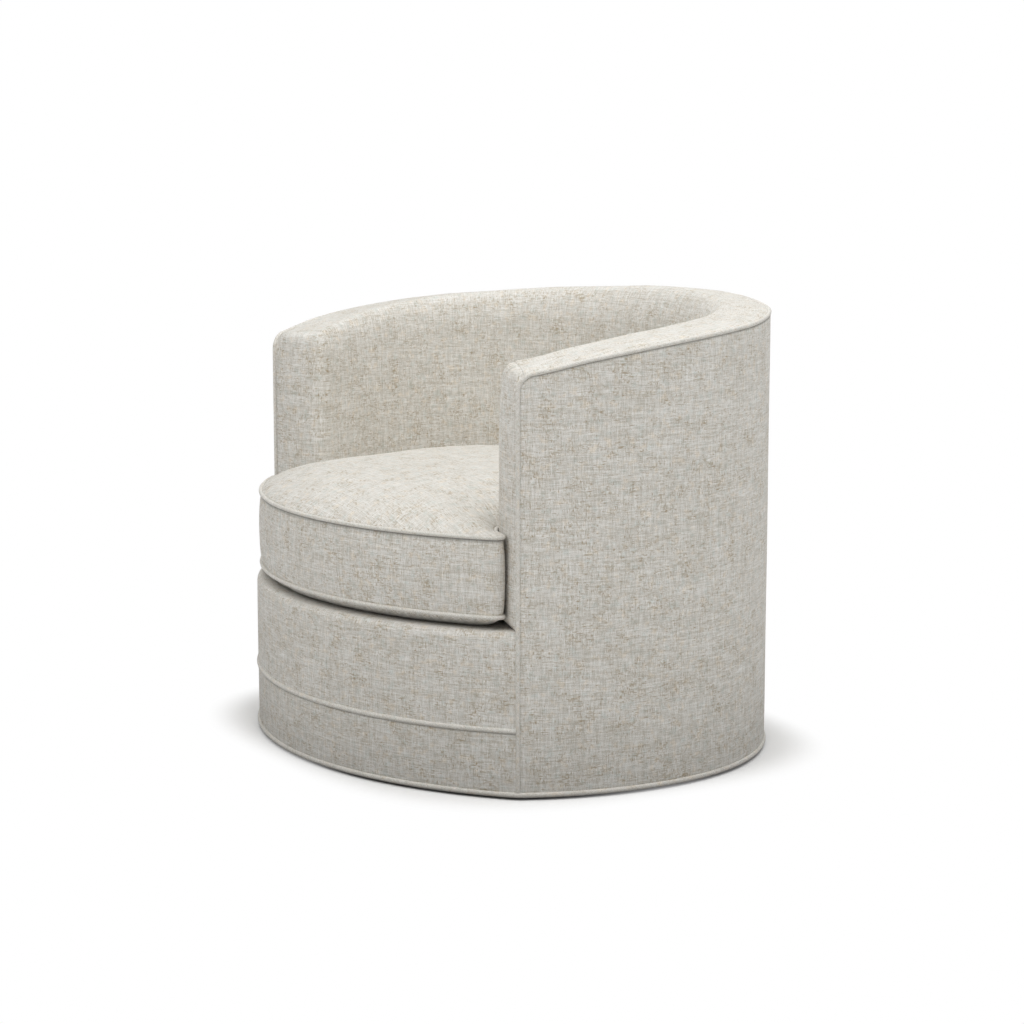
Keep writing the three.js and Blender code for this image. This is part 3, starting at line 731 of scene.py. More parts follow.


# The skin's left half, column by column from the arm front's outer corner to the middle of the back:
# each place, then its inset on the front or its run on the wall, and its mark for the dart's depth and
# painted shade
def insideColumns(values):
    rows = sectionShares(values)
    half = wall.length / 2
    steps = np.array([0, 0.8, 1.6, 2.6, 4, 6, 9, 13, 18, 24, 32]) / 1000
    steps = np.concatenate([steps, np.linspace(0.041, half - 0.006, 92)])
    outline = [sectionPoint(kind, share, 0.0) for kind, share in rows]
    drops, dart = [], []
    for (kind, share), (inset, _) in zip(rows, outline):
        drops.append(dartDrop(kind, share, inset))
        back = between(values["dartBack"], values["dartTip"], min(1, inset / values["dartInset"]))
        dart.append(back if kind != "face" else values["dartTip"])
    frontTop, faceLevel = outline[0][1], values["faceLevel"]
    upperRows = sum(height > faceLevel for _, height in outline)
    topRows = sum(kind == "rise" for kind, _ in rows) + 1
    topLine = np.array(outline[:topRows], float).T
    columns = []

    # front face, from its outer corner seam to its outline
    faceCount = values["faceColumns"]
    for q in range(faceCount, -1, -1):
        share = 1 - math.cos(math.pi / 2 * q / faceCount)
        column = []
        for j, (inset, height) in enumerate(outline):
            endHeight = height if height <= faceLevel else between(frontTop, faceLevel, j / upperRows)
            here = between(inset, values["cornerInset"], share)
            level = between(height, endHeight, share)
            x, y = armPoint(here, frontAhead(here, level, topLine) if q else 0)
            column.append((x, y, level - drops[j] * (1 - share) ** 2, here, 0))
        columns.append(column)

    # the corner between the front face and the dart, and then the wall
    for part, step in [(part, 0) for part in (0.08, 0.3, 0.55, 0.8)] + [(1, step) for step in steps]:
        column = []
        for j, (kind, share) in enumerate(rows):
            run = dart[j] * part + step * (half - dart[j]) / half
            inset, height = sectionPoint(kind, share, run)
            height = height - drops[j] * math.exp(-((step / 0.0018) ** 2))
            x, y = wall.at(run, inset)
            # painted shade along the dart, fading out down the roll
            creaseAndShade = 0.45 * math.exp(-((step / 0.0005) ** 2)) if part == 1 and kind != "face" else 0
            if kind == "roll":
                creaseAndShade *= max(0, 1 - share / 0.5)
            column.append((x, y, height, run, creaseAndShade))
        columns.append(column)
    return np.array(columns, float)


def makeInsideCover(values):
    skin = insideColumns(values)
    left, spots, creaseAndShade = skin[..., :3], skin[..., 3], skin[..., 4]
    grid = np.concatenate([left, left[::-1] * np.array([-1, 1, 1])])
    creaseAndShade = np.concatenate([creaseAndShade, creaseAndShade[::-1]])
    total, count = grid.shape[:2]
    fronts, thick = values["faceColumns"] + 1, body["armThickness"]

    # the weave runs across and up an arm front, and along the wall and up its section from the deck
    lengths = np.linalg.norm(np.diff(grid, axis=1), axis=2)
    rise = np.concatenate([np.cumsum(lengths[:, ::-1], axis=1)[:, ::-1], np.zeros((total, 1))], axis=1)
    insets, run = spots[:fronts], spots[fronts:]
    run = np.concatenate([run, wall.length - run[::-1]])
    across = np.concatenate([insets - thick, run, wall.length + thick - insets[::-1]])
    along = np.pad(run, ((fronts, fronts), (0, 0)), "edge")
    frontUvs, wallUvs = listed(across, grid[..., 2]), listed(along, rise + body["railTop"])
    faces = gridFaces(total, count)
    column = faces[:, 0] // count
    onFront = (column < fronts - 1) | (column >= total - fronts)
    uvs = np.where(onFront[:, None, None], frontUvs[faces], wallUvs[faces])

    points = grid.reshape(-1, 3)
    cover = makePiece("inside_cover", points, faces, uvs.reshape(-1, 2), cloth, creaseAndShade)
    soft = softNoise(points, 0.12, 4) + 0.4 * softNoise(points, 0.045, 9)
    fade = np.ones((total, count))
    fade[:, [1, -1]] = 0.3
    fade[:, 0] = fade[0] = fade[-1] = 0
    # the dart is pushed in along the same mark that carries its painted shade
    push = soft * values["unevenness"] * fade.ravel() - creaseAndShade.ravel() * values["dartDepth"]
    points = points + readAll(cover.data.vertices, "normal", 3) * push[:, None]
    cover.data.vertices.foreach_set("co", points.ravel())
    cover.data.update()
    thicken(cover, values["thickness"])
    sides = ("left_arm", "back", "right_arm")
    dress(cover, "seat", "cloth", *[f"inside_cover_{s}" for s in sides], *[f"inside_pad_{s}" for s in sides],
          "arm_front_left", "arm_front_right")


makeInsideCover(insideValues)
print("inside cover and arm fronts ready")


# Bowed front: padded rail above the rail welt, plain band below it

frontValues = {
    "step": 0.008,
    "tuck": 0.0032,  # below the rail welt
    "flushTuck": 0.0008,  # above a welt
    "tuckReach": 0.0040,
    "railThickness": 0.0040,
    "bandThickness": 0.0022,
    "edgeCut": 0.0022,
    "lipDepth": 0.070,  # how far the rail cover reaches back under the cushion
    "unevenness": 0.0006,
}


# A section swept along the bow: its points, faces and weave coordinates
def frontGrid(section, values, seed):
    runs = spacedRuns(values["edgeCut"], bow.length - values["edgeCut"], 0.0015, values["step"], 0.012)
    up = runAlong(section) + section[0, 1]
    run, inset, height, up = np.broadcast_arrays(runs[:, None], *section.T, up)
    side = np.minimum(run - runs[0], runs[-1] - run) + 0.0006
    edge = tuckShare(side, values["tuckReach"])
    x, y = bow.at(run, inset)
    soft = softNoise(listed(x, y, height), 0.10, seed).reshape(run.shape)
    facing = np.clip(1 - inset / 0.012, 0, 1)
    swell = soft * values["unevenness"] * np.clip(side / 0.03, 0, 1) * facing
    inset = inset + values["flushTuck"] * edge * facing - swell
    x, y = bow.at(run, inset)
    return listed(x, y, height), gridFaces(*run.shape), listed(run, up)


def makeRailCover(values):
    low, top, corner = body["railSeam"] + body["seamGap"], body["railTop"], body["railRound"]
    face = np.concatenate([np.arange(0, 0.009, 0.0015), np.linspace(0.0105, top - corner - low, 15)])
    section = [(values["flushTuck"] * tuckShare(r, values["tuckReach"]), low + r) for r in face]
    for angle in np.linspace(0, math.pi / 2, 8)[1:]:
        section.append((corner - corner * math.cos(angle), top - corner + corner * math.sin(angle)))
    for s in np.linspace(0, 1, 8)[1:]:
        section.append((between(corner, values["lipDepth"], s), top))
    points, faces, uvs = frontGrid(np.array(section), values, 12)
    cover = makePiece("front_rail_cover_cloth", points, faces, uvs, cloth)
    thicken(cover, values["railThickness"])
    dress(cover, "seat", "cloth", "front_rail_cover", "front_rail_pad")


def makeBandCover(values):
    low, top = body["underside"] - body["hem"], body["railSeam"] - body["seamGap"]
    edge = np.arange(0, 0.009, 0.0015)
    heights = np.concatenate([low + edge, np.linspace(low + 0.0105, top - 0.0105, 9), top - edge[::-1]])
    tucks = ((heights - low, "flushTuck"), (top - heights, "tuck"))
    inset = np.maximum(*[values[tuck] * tuckShare(near, values["tuckReach"]) for near, tuck in tucks])
    points, faces, uvs = frontGrid(np.stack([inset, heights], 1), values, 15)
    # painted shade in the fold below the rail welt
    creaseAndShade = np.tile(seamShade(top - heights + 0.0008), len(points) // len(heights))
    cover = makePiece("front_band_cover_cloth", points, faces, uvs, cloth, creaseAndShade)
    thicken(cover, values["bandThickness"])
    dress(cover, "seat", "cloth", "front_band_cover")


makeRailCover(frontValues)
makeBandCover(frontValues)
print("front rail and band ready")


# Welts: bias-cut cloth round a cord, swept along its path by one tree

weltValues = {
    "edgeRadius": 0.0033,
    "seamRadius": 0.0042,
    "edgeInset": 0.0019,
    "edgeDrop": 0.0008,  # of the top welt's middle, so that the cloth laps over it
    "inset": 0.0015,
    "step": 0.004,
    "sides": 12,
    "cushionRadius": 0.0032,
    "unevenness": 0.00008,
}


# A Geometry Nodes tree: its named inputs, its nodes with their settings and fixed values, and the links,
# each a node and its output, then the node and input that it feeds
def makeGeometryTree(name, sockets, nodes, links):
    tree = bpy.data.node_groups.new(name, "GeometryNodeTree")
    tree.interface.new_socket("Geometry", in_out="INPUT", socket_type="NodeSocketGeometry")
    for label, kind in sockets.items():
        tree.interface.new_socket(label, in_out="INPUT", socket_type="NodeSocket" + kind)
    tree.interface.new_socket("Geometry", in_out="OUTPUT", socket_type="NodeSocketGeometry")
    made = {"start": tree.nodes.new("NodeGroupInput"), "end": tree.nodes.new("NodeGroupOutput")}
    for label, (kind, settings, fixed) in nodes.items():
        made[label] = tree.nodes.new(kind)
        for key, value in settings.items():
            setattr(made[label], key, value)
        for key, value in fixed.items():
            made[label].inputs[key].default_value = value
    for source, output, target, entry in links:
        tree.links.new(made[source].outputs[output], made[target].inputs[entry])
    return tree


# A line of points put through a tree, whose inputs are set by their identifiers, and kept as a plain mesh
def makeFromLine(name, points, closed, tree, values):
    mesh = bpy.data.meshes.new(name)
    count = len(points)
    edges = [(i, (i + 1) % count) for i in range(count if closed else count - 1)]
    mesh.from_pydata(points.tolist(), edges, [])
    piece = addObject(name, mesh)
    modifier = piece.modifiers.new("tree", "NODES")
    modifier.node_group = tree
    for item in tree.interface.items_tree:
        if item.in_out == "INPUT" and item.name in values:
            modifier[item.identifier] = values[item.name]
    applyModifiers(piece)
    return piece


sweepTree = makeGeometryTree(
    "welt_sweep",
    {"Radius": "Float", "Sides": "Int", "Finish": "Material"},
    {
        "path": ("GeometryNodeMeshToCurve", {}, {}),
        "circle": ("GeometryNodeCurvePrimitiveCircle", {}, {}),
        "sweep": ("GeometryNodeCurveToMesh", {}, {"Fill Caps": True}),
        "realize": ("GeometryNodeRealizeInstances", {}, {}),
        "finish": ("GeometryNodeSetMaterial", {}, {}),
    },
    [
        ("start", "Geometry", "path", 0), ("path", 0, "sweep", "Curve"),
        ("start", "Radius", "circle", "Radius"), ("start", "Sides", "circle", "Resolution"),
        ("circle", 0, "sweep", "Profile Curve"), ("sweep", 0, "realize", 0),
        ("realize", 0, "finish", "Geometry"), ("start", "Finish", "finish", "Material"),
        ("finish", 0, "end", 0),
    ])


def makeWelt(name, path, radius, closed=False):
    sides = weltValues["sides"]
    inputs = {"Radius": radius, "Sides": sides, "Finish": weltCloth}
    welt = makeFromLine(name, path, closed, sweepTree, inputs)
    mesh = welt.data
    points = readAll(mesh.vertices, "co", 3)
    ring = np.minimum(np.arange(len(points)) // sides, len(path) - 1)
    run = runAlong(path)
    total = run[-1] + (np.linalg.norm(path[0] - path[-1]) if closed else 0)
    middle = path[ring]
    wobble = softNoise(middle, 0.02, len(name)) * 0.6 + softNoise(points, 0.008, 3) * 0.4
    out = points - middle
    out /= np.linalg.norm(out, axis=1)[:, None]
    mesh.vertices.foreach_set("co", (points + out * (wobble * weltValues["unevenness"])[:, None]).ravel())
    corners = readAll(mesh.loops, "vertex_index", kind=int)
    starts = readAll(mesh.polygons, "loop_start", kind=int)
    polygon = np.repeat(np.arange(len(starts)), readAll(mesh.polygons, "loop_total", kind=int))
    u = run[ring[corners]]
    v = (corners % sides) / sides
    # a face across the start of the ring or of the path takes the far side's value
    for values, full in ((u, total), (v, 1.0)):
        highest = np.maximum.reduceat(values, starts)[polygon]
        values[(highest - values) > full / 2] += full
    v = v * 2 * math.pi * radius
    uvs = np.stack([u + v, v - u], 1) / math.sqrt(2)
    layer = mesh.uv_layers.get("weave") or mesh.uv_layers.new(name="weave")
    layer.data.foreach_set("uv", uvs.ravel())
    mesh.polygons.foreach_set("use_smooth", [True] * len(mesh.polygons))
    mesh.update()
    return welt


def makeBodyWelts(values):
    # up the left front corner, round its bend and along the top to the middle of the back
    bend, drop, step = body["cornerRound"], values["edgeDrop"], values["step"]
    foot = body["seamHeights"][0] - drop - bend
    half = [(0.0, height) for height in np.arange(body["underside"], foot, step)]
    for angle in np.linspace(0, math.pi / 2, 12):
        run = bend - bend * math.cos(angle)
        half.append((run, foot + bend * math.sin(angle) + (seamAt(run) - body["seamHeights"][0])))
    for run in np.linspace(bend + step, wall.length / 2, int(wall.length / 2 / step)):
        half.append((run, seamAt(run) - drop))
    runs, heights = np.array(half).T
    path = np.column_stack([*wall.at(runs, values["edgeInset"]), heights])
    path = np.vstack([path, path[-2::-1] * np.array([-1, 1, 1])])
    edge = makeWelt("edge_welt", path, values["edgeRadius"])
    dress(edge, "seat", "cloth", "top_welt", "front_welt_left", "front_welt_right")

    inset, radius = values["inset"], values["seamRadius"]
    across = np.column_stack(bow.at(np.arange(0.003, bow.length - 0.002, step), inset))
    rail = makeWelt("rail_welt_cloth", atHeight(across, body["railSeam"]), radius)
    dress(rail, "seat", "cloth", "rail_welt")

    around = np.vstack([stretch(wall, 0, int(wall.length / step), inset),
                        stretch(bow, 0, int(bow.length / step), inset)[1:-1]])
    bottom = makeWelt("bottom_welt_cloth", atHeight(around, body["bottomWeltHeight"]), radius, closed=True)
    dress(bottom, "seat", "cloth", "bottom_welt")


makeBodyWelts(weltValues)
print("welts ready")


# Loose seat cushion

cushionValues = {
    "bottomSeam": 0.2695,
    "topSeam": 0.3875,
    "crown": 0.056,
    "sag": 0.0185,
    "rimLift": 0.0032,  # the panels start beside the welts' far sides
    "rimInset": 0.0034,
    "deckGap": 0.0012,
    "frontInset": 0.0068,
    "clearance": 0.005,
    "earClearance": 0.0045,
    "earTip": (0.0122, 0.0148),  # its corner's inset and distance ahead from the arm front's outer edge
    "earRound": 0.024,
    "cell": 0.0095,  # spacing of the panels' mesh
    "borderRows": 13,
    "crownReach": 20.0,  # per metre: higher is flatter in the middle
    "sagReach": 130.0,
    "borderBulge": 0.0026,
    "pressure": 3.0,
    "moveLimit": 0.006,
    "fill": 0.8,
}


def cushionOutline(values):
    clear = body["frontBulge"] + values["earClearance"]
    radius = bowRadius - values["frontInset"]
    frontAt = lambda a: np.array([radius * math.sin(a), bowCentreY - radius * math.cos(a)])
    tipInset, tipAhead = values["earTip"]
    tipAngle = math.asin(armPoint(tipInset, tipAhead)[0] / radius)
    roundAngle = tipAngle - values["earRound"] / radius
    front = [frontAt(a) for a in np.linspace(-roundAngle, roundAngle, 130)]
    start, bend = front[-1], frontAt(tipAngle)
    end = armPoint(tipInset + values["earRound"], tipAhead + 0.003)
    ear = []
    for t in np.linspace(0, 1, 9)[1:]:
        ear.append((1 - t) ** 2 * start + 2 * t * (1 - t) * bend + t**2 * end)
    # along the arm front, round the notch and on along the wall
    notch = [(0.055, clear - 0.002), (0.080, clear + 0.001), (0.108, clear - 0.001), (0.1165, clear - 0.006),
             (0.1195, clear - 0.016), (0.121, 0.008)]
    ear += [armPoint(*place) for place in notch]
    runs = np.linspace(0.045, 0.955, 64) * wall.length
    inside = np.column_stack(wall.at(runs, thicknessAt(runs) + values["clearance"]))
    mirrored = np.array(ear[::-1]) * np.array([-1, 1])
    return resampleClosed(np.vstack([front, ear, inside, mirrored]), 0.0055)


def resampleClosed(points, step):
    loop = np.vstack([points, points[:1]])
    run = runAlong(loop)
    count = int(round(run[-1] / step))
    spots = np.linspace(0, run[-1], count, endpoint=False)
    return np.stack([np.interp(spots, run, loop[:, i]) for i in (0, 1)], 1)


def smoothClosed(points, rounds):
    for _ in range(rounds):
        points = (np.roll(points, 1, 0) + 2 * points + np.roll(points, -1, 0)) / 4
    return points


def outlineNormals(outline):
    along = np.roll(outline, -1, 0) - np.roll(outline, 1, 0)
    along /= np.linalg.norm(along, axis=1)[:, None]
    return np.stack([-along[:, 1], along[:, 0]], 1)  # towards the inside


# Areas of flat triangles, twice over, and below 0 where one runs clockwise
def doubleAreas(points, triangles):
    a, b, c = [points[triangles[:, i]] for i in range(3)]
    return (b - a)[:, 0] * (c - a)[:, 1] - (b - a)[:, 1] * (c - a)[:, 0]


# Height of a film blown up between a fixed outline: 0 at the rim, 1 at its highest
def blownFilm(points, triangles, rim, reach):
    area = doubleAreas(points, triangles) / 2
    pairs, weights = [], []
    for i in range(3):
        p, q, r = [points[triangles[:, (i + k) % 3]] for k in range(3)]
        cot = ((q - p) * (r - p)).sum(1) / (2 * area)
        pairs.append(triangles[:, [(i + 1) % 3, (i + 2) % 3]])
        weights.append(cot / 2)
    pairs, weights = np.concatenate(pairs), np.concatenate(weights)
    count = len(points)
    mass = sum(np.bincount(triangles[:, i], area / 3, count) for i in range(3))
    free = ~rim

    def apply(x):
        flow = weights * (x[pairs[:, 0]] - x[pairs[:, 1]])
        out = np.bincount(pairs[:, 0], flow, count) - np.bincount(pairs[:, 1], flow, count)
        return np.where(free, out + reach**2 * mass * x, 0)

    x = np.zeros(count)
    residual = np.where(free, mass, 0)
    heading = residual.copy()
    size = residual @ residual
    for _ in range(600):
        pushed = apply(heading)
        step = size / (heading @ pushed)
        x += step * heading
        residual -= step * pushed
        newSize = residual @ residual
        if newSize < 1e-24:
            break
        heading = residual + newSize / size * heading
        size = newSize
    return x / x.max()


def planTriangles(outline, cell):
    count = len(outline)
    low, high = outline.min(0), outline.max(0)
    spots = []
    row = 0
    y = low[1]
    while y < high[1]:
        x = low[0] + (cell / 2 if row % 2 else 0)
        while x < high[0]:
            spots.append((x, y))
            x += cell
        y += cell * math.sqrt(3) / 2
        row += 1
    spots = np.array(spots)
    inside = np.zeros(len(spots), bool)
    nearest = np.full(len(spots), 9.0)
    for i in range(count):
        a, b = outline[i], outline[(i + 1) % count]
        crosses = (a[1] > spots[:, 1]) != (b[1] > spots[:, 1])
        if crosses.any():
            at = a[0] + (spots[:, 1] - a[1]) * (b[0] - a[0]) / (b[1] - a[1] if b[1] != a[1] else 1e-9)
            inside ^= crosses & (spots[:, 0] < at)
        side = b - a
        t = np.clip(((spots - a) @ side) / (side @ side), 0, 1)
        nearest = np.minimum(nearest, np.linalg.norm(spots - a - t[:, None] * side, axis=1))
    spots = spots[inside & (nearest > 0.62 * cell)]
    points = [Vector(p) for p in np.vstack([outline, spots])]
    rim = [(i, (i + 1) % count) for i in range(count)]
    made = geometry.delaunay_2d_cdt(points, rim, [], 1, 1e-7)
    flat = np.array([list(p) for p in made[0]])
    triangles = np.array([list(f) for f in made[2]])
    turned = doubleAreas(flat, triangles) < 0
    triangles[turned] = triangles[turned][:, ::-1]
    return flat, triangles


def makeCushion(values):
    outline = smoothClosed(cushionOutline(values), 2)
    outline = resampleClosed(outline, 0.0075)
    count = len(outline)
    normals = outlineNormals(outline)
    flat, triangles = planTriangles(outline + normals * values["rimInset"], values["cell"])
    panelCount = len(flat)
    onRim = np.zeros(panelCount, bool)
    onRim[:count] = True
    crown = blownFilm(flat, triangles, onRim, values["crownReach"])
    sag = blownFilm(flat, triangles, onRim, values["sagReach"])

    lift = values["rimLift"]
    top = np.column_stack([flat, values["topSeam"] + lift + (values["crown"] - lift) * crown])
    bottom = np.column_stack([flat, values["bottomSeam"] - lift - (values["sag"] - lift) * sag])
    bottom[:, 2] = np.maximum(bottom[:, 2], body["railTop"] + values["deckGap"])
    rows, tall = values["borderRows"], values["topSeam"] - values["bottomSeam"]
    shares = [r / rows for r in range(rows)] + [1.0]
    # the last rows lie close below the top welt
    for k, below in ((-3, 0.0066), (-2, 0.0040)):
        shares[k] = 1 - below / tall
    levels = [between(values["bottomSeam"], values["topSeam"], t) for t in shares]
    # fullest where nothing stands against it
    full = between(0.45, 1, np.clip(1 - (outline[:, 1] + 0.232) / 0.03, 0, 1))
    border = []
    for t, level in zip(shares[1:-1], levels[1:-1]):
        bulge = (1 - (2 * t - 1) ** 2) * values["borderBulge"]
        tuck = 0.0036 * math.exp(-(((1 - t) * tall / 0.0046) ** 1.4) * 1.2)
        line = outline + normals * (0.0006 + tuck - bulge * full)[:, None]
        border.append(atHeight(line, level))
    points = np.vstack([top, bottom, *border])

    faces = [list(t) for t in triangles]
    faces += [list(t[::-1] + panelCount) for t in triangles]
    uvs = [flat[t] for t in triangles]
    uvs += [flat[t[::-1]] + 0.9 for t in triangles]
    arc = runAlong(np.vstack([outline, outline[:1]]))
    # where each row's points start: the bottom panel's rim, the border's own rows, the top panel's rim
    starts = [panelCount, *[2 * panelCount + r * count for r in range(rows - 1)], 0]
    for r in range(rows):
        (lower, upper), (low, high) = starts[r:r + 2], levels[r:r + 2]
        for i in range(count):
            k = (i + 1) % count
            faces.append([lower + i, lower + k, upper + k, upper + i])
            uvs.append(np.array([(arc[i], low), (arc[i + 1], low), (arc[i + 1], high), (arc[i], high)]))
    # painted shade: a dark line on the border's last row, under the top welt, and the bottom panel darkened
    # all over, fully near its rim
    creaseAndShade = np.zeros(len(points))
    creaseAndShade[-count:] = 1
    creaseAndShade[panelCount + count:2 * panelCount] = 0.35 + 0.65 * np.clip((1 - sag[count:]) / 0.05, 0, 1)
    cushion = makePiece("seat_cushion", points, faces, np.vstack(uvs), cloth, creaseAndShade)
    # the top panel's rim and the whole bottom panel stay put
    held = [*range(count), *range(panelCount, 2 * panelCount)]
    return cushion, outline, normals, held, points


cushion, cushionLine, cushionNormals, cushionHeld, cushionRest = makeCushion(cushionValues)


def inflate(piece, held, rest, values):
    piece.vertex_groups.new(name="pinned").add(held, 1.0, "REPLACE")
    modifier = piece.modifiers.new("cloth", "CLOTH")
    settings = modifier.settings
    settings.quality = 6
    settings.mass = 0.35
    settings.tension_stiffness = settings.compression_stiffness = 18
    settings.shear_stiffness = 8
    settings.bending_stiffness = 1.2
    settings.use_pressure = True
    settings.uniform_pressure_force = values["pressure"]
    settings.vertex_group_mass = "pinned"
    settings.pin_stiffness = 1.0
    settings.effector_weights.gravity = 0
    modifier.collision_settings.use_collision = False
    modifier.point_cache.frame_start = 1
    modifier.point_cache.frame_end = 20
    scene = bpy.context.scene
    for step in range(1, 21):
        scene.frame_set(step)
    depsgraph = bpy.context.evaluated_depsgraph_get()
    blown = piece.evaluated_get(depsgraph).to_mesh()
    found = readAll(blown.vertices, "co", 3)
    piece.evaluated_get(depsgraph).to_mesh_clear()
    piece.modifiers.clear()
    scene.frame_set(1)
    move = found - rest
    length = np.linalg.norm(move, axis=1)
    limit = values["moveLimit"]
    # moves level off towards the limit
    scale = np.where(length > 1e-9, limit * np.tanh(length / limit) / np.maximum(length, 1e-9), 0)
    piece.data.vertices.foreach_set("co", (rest + move * scale[:, None]).ravel())
    piece.data.update()
    print("cushion blown up, most moved", round(float(length.max() * 1000), 1), "mm")


inflate(cushion, cushionHeld, cushionRest, cushionValues)


def finishCushion(piece):
    divide = piece.modifiers.new("rounding", "SUBSURF")
    divide.levels = divide.render_levels = 1
    applyModifiers(piece)
    dress(piece, "cushion", "cloth",
          "cushion_top_panel", "cushion_bottom_panel", "cushion_border", "cushion_core")


finishCushion(cushion)
weltLine = resampleClosed(cushionLine + cushionNormals * 0.0008, weltValues["step"])
for side in ("top", "bottom"):
    weltPath = atHeight(weltLine, cushionValues[side + "Seam"])
    cushionWelt = makeWelt(f"cushion_{side}_welt_cloth", weltPath, weltValues["cushionRadius"], closed=True)
    dress(cushionWelt, "cushion", "cloth", f"cushion_{side}_welt")
print("cushion ready")


# Deck under the cushion and dust cover under the body

deckValues = {
    "sag": 0.0015,
    "thickness": 0.0016,
    "wallInset": 0.068,
    "wallCut": 0.05,  # how far short of the corners its sides and its front edge stop
    "frontCut": 0.075,
}


def makeDeck(values):
    front = stretch(bow, values["frontCut"], 60, frontValues["lipDepth"] - 0.012)
    sides = stretch(wall, values["wallCut"], 120, values["wallInset"])
    outline = resampleClosed(np.vstack([front, sides]), 0.016)
    flat, triangles = planTriangles(outline, 0.020)
    rim = np.arange(len(flat)) < len(outline)
    dip = blownFilm(flat, triangles, rim, 8.0)
    top = body["railTop"] - 0.0006
    points = np.column_stack([flat, top - values["sag"] * dip])
    deck = makePiece("seat_deck", points, triangles, flat, cloth)
    thicken(deck, values["thickness"])
    dress(deck, "seat", "cloth", "deck_cloth", "spring_pad")
    tellSheet(deck, *(flat.max(0) - flat.min(0) + 0.03).tolist(), 0.84)


makeDeck(deckValues)

dustValues = {
    "height": 0.0117,
    "thickness": 0.0006,
    "hem": 0.008,
    "holeRadius": 0.302,
    "stapleInset": 0.020,
    "stapleCut": 0.03,  # how far from the corners they stop
    "stapleSpacing": 0.038,
    "stapleWidth": 0.010,
    "wire": 0.0006,
}


def makeDustCover(values):
    hem = values["hem"]
    rim = np.vstack([stretch(bow, hem, 110, hem), stretch(wall, hem, 240, hem)])
    angles = np.arctan2(rim[:, 1], rim[:, 0])
    hole = values["holeRadius"] * np.stack([np.cos(angles), np.sin(angles)], 1)
    flat = np.stack([between(rim, hole, share) for share in np.linspace(0, 1, 9)], 1)
    height = np.full(flat.shape[:2], values["height"])
    # it hangs a hair between the staples and the disc's edge
    height -= 0.0004 * np.sin(np.linspace(0, math.pi, 9))[None, :]
    points = np.dstack([flat, height]).reshape(-1, 3)
    faces = gridFaces(*flat.shape[:2], closedRows=True)[:, ::-1]
    cover = makePiece("dust_cover_cloth", points, faces, flat.reshape(-1, 2), cambric)
    thicken(cover, values["thickness"])
    dress(cover, "seat", "cambric", "dust_cover")
    tellSheet(cover, *(flat.max((0, 1)) - flat.min((0, 1)) + 0.02).tolist(), 0.45)


makeDustCover(dustValues)


# Staples that hold the dust cover, put round its edge by one tree
stapleTree = makeGeometryTree(
    "dust_cover_staples",
    {"Spacing": "Float", "Width": "Float", "Wire": "Float", "Finish": "Material"},
    {
        "path": ("GeometryNodeMeshToCurve", {}, {}),
        "spread": ("GeometryNodeCurveToPoints", {"mode": "LENGTH"}, {}),
        "size": ("ShaderNodeCombineXYZ", {}, {}),
        "staple": ("GeometryNodeMeshCube", {}, {}),
        "align": ("FunctionNodeAlignRotationToVector", {"axis": "X"}, {}),
        "onPoints": ("GeometryNodeInstanceOnPoints", {}, {}),
        "tilt": ("FunctionNodeRandomValue", {"data_type": "FLOAT"}, {"Min": -0.25, "Max": 0.25, "Seed": 11}),
        "turn": ("FunctionNodeRotateRotation", {}, {}),
        "angle": ("ShaderNodeCombineXYZ", {}, {}),
        "euler": ("FunctionNodeEulerToRotation", {}, {}),
        "realize": ("GeometryNodeRealizeInstances", {}, {}),
        "finish": ("GeometryNodeSetMaterial", {}, {}),
    },
    [
        ("start", "Geometry", "path", 0), ("path", 0, "spread", 0), ("start", "Spacing", "spread", "Length"),
        ("start", "Width", "size", 0), ("start", "Wire", "size", 1), ("start", "Wire", "size", 2),
        ("size", 0, "staple", "Size"), ("spread", "Tangent", "align", "Vector"), ("tilt", 1, "angle", 2),
        ("angle", 0, "euler", 0), ("align", 0, "turn", "Rotation"), ("euler", 0, "turn", "Rotate By"),
        ("spread", "Points", "onPoints", "Points"), ("staple", "Mesh", "onPoints", "Instance"),
        ("turn", 0, "onPoints", "Rotation"), ("onPoints", 0, "realize", 0),
        ("realize", 0, "finish", "Geometry"), ("start", "Finish", "finish", "Material"),
        ("finish", 0, "end", 0),
    ])


def makeStaples(values):
    inset, cut = values["stapleInset"], values["stapleCut"]
    path = np.vstack([stretch(bow, cut, 90, inset), stretch(wall, cut, 200, inset)])
    path = atHeight(path, values["height"] - values["thickness"] * 0.2)
    inputs = {"Spacing": values["stapleSpacing"], "Width": values["stapleWidth"],
              "Wire": values["wire"], "Finish": zincSteel}
    dress(makeFromLine("dust_cover_staples", path, True, stapleTree, inputs), "seat", "zinc_steel")


makeStaples(dustValues)
print("deck and dust cover ready")


# Finishes of the frame's own pieces

nodeFinishes = (
    (plywood, ("base_disc", "bottom_rail", "seat_rail", "top_rail")),
    (hardwood, ("swivel_cross_rail", "front_post", "back_post")),
    (zincSteel, ("lower_bearing_plate", "lower_plate_screw", "upper_bearing_plate", "centre_rivet")),
    (springSteel, ("sinuous_spring",)),
    (nylon, ("floor_glide", "ball_cage")),
)
for nodeName, node in nodes.items():
    for finish, starts in nodeFinishes:
        if nodeName.startswith(starts):
            node.data.materials.clear()
            node.data.materials.append(finish)
print("frame finishes ready")


# Floor and surround

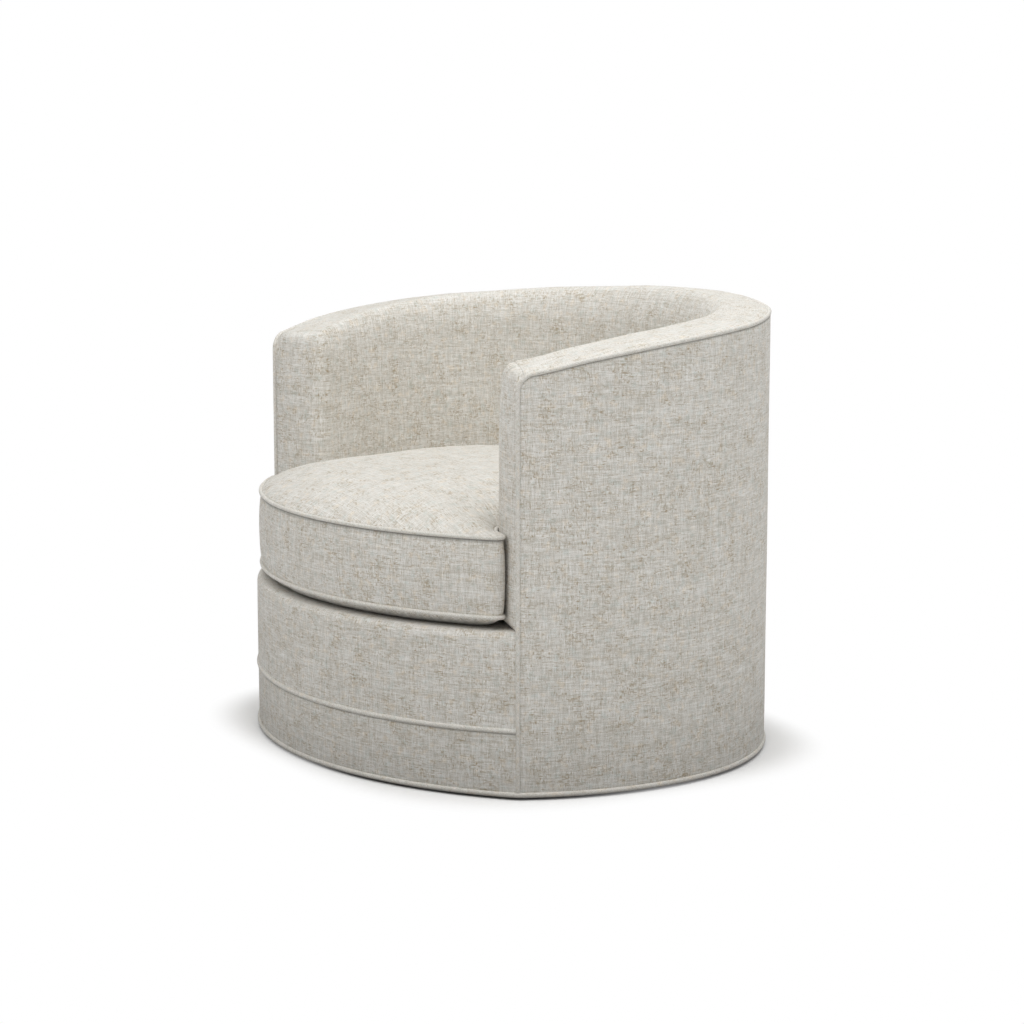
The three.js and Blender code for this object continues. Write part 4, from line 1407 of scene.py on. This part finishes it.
floorValues = {
    "radius": 9.0,
    "chairHalf": (0.459, 0.393),  # half the width and the depth of the chair's plan
    "colour": 0.88,
    "shadeColour": 0.25,  # the same close beside the chair
    "shadeTo": 2.0,  # where its shade ends, in shares of the chair's plan
    "seenColour": 1.0,  # what the camera sees of its colour
    "plainFrom": 0.93,  # in shares of the chair's plan
    "plainTo": 1.12,  # beyond this the floor is even white
}


def makeFloor(values):
    angles = np.linspace(0, 2 * math.pi, 96, endpoint=False)
    rim = [(values["radius"] * math.cos(a), values["radius"] * math.sin(a), 0) for a in angles]
    mesh = bpy.data.meshes.new("floor")
    mesh.from_pydata(rim, [], [list(range(len(rim)))])
    tree = ShaderTree("pale_floor")
    seen = tree.seen()
    x, y, _ = tree.split(tree.node("TexCoord", (), 3))
    along, across = [(way * way * (1 / half ** 2)) ** 1.5 for way, half in zip((x, y), values["chairHalf"])]
    away = (along + across) ** (1 / 3)
    plain = tree.ramp(away, values["plainFrom"], values["plainTo"]) * seen
    lighter = values["colour"] - values["shadeColour"]
    shade = values["shadeColour"] + lighter * tree.ramp(away, 1, values["shadeTo"])
    grit = tree.noise(tree.vector(x, y), 14.0, 3.0)
    shade = tree.node("CombineColor", (shade, shade, shade))
    colour = tree.mixColour(seen, shade, (values["seenColour"],) * 3)
    colour = tree.mixColour(grit * 0.01, colour, (0.9, 0.9, 0.9))
    matt = tree.node("BsdfDiffuse", {"Color": colour})
    white = tree.node("Emission", {"Color": (1, 1, 1, 1), "Strength": 1.0})
    both = tree.node("MixShader", (plain, matt, white))
    tree.node("OutputMaterial", (both,))
    mesh.materials.append(tree.owner)
    addObject("floor", mesh)


def makeSurround(values):
    tree = ShaderTree("surround", bpy.data.worlds.new("surround"))
    bpy.context.scene.world = tree.owner
    colour = (*values["ambientColour"], 1)
    ambient = tree.node("Background", {"Color": colour, "Strength": values["ambient"]})
    white = tree.node("Background", {"Color": (1, 1, 1, 1)})
    both = tree.node("MixShader", (tree.seen(), ambient, white))
    tree.node("OutputWorld", (both,))


makeFloor(floorValues)
makeSurround(lightValues)
print("floor and surround ready")
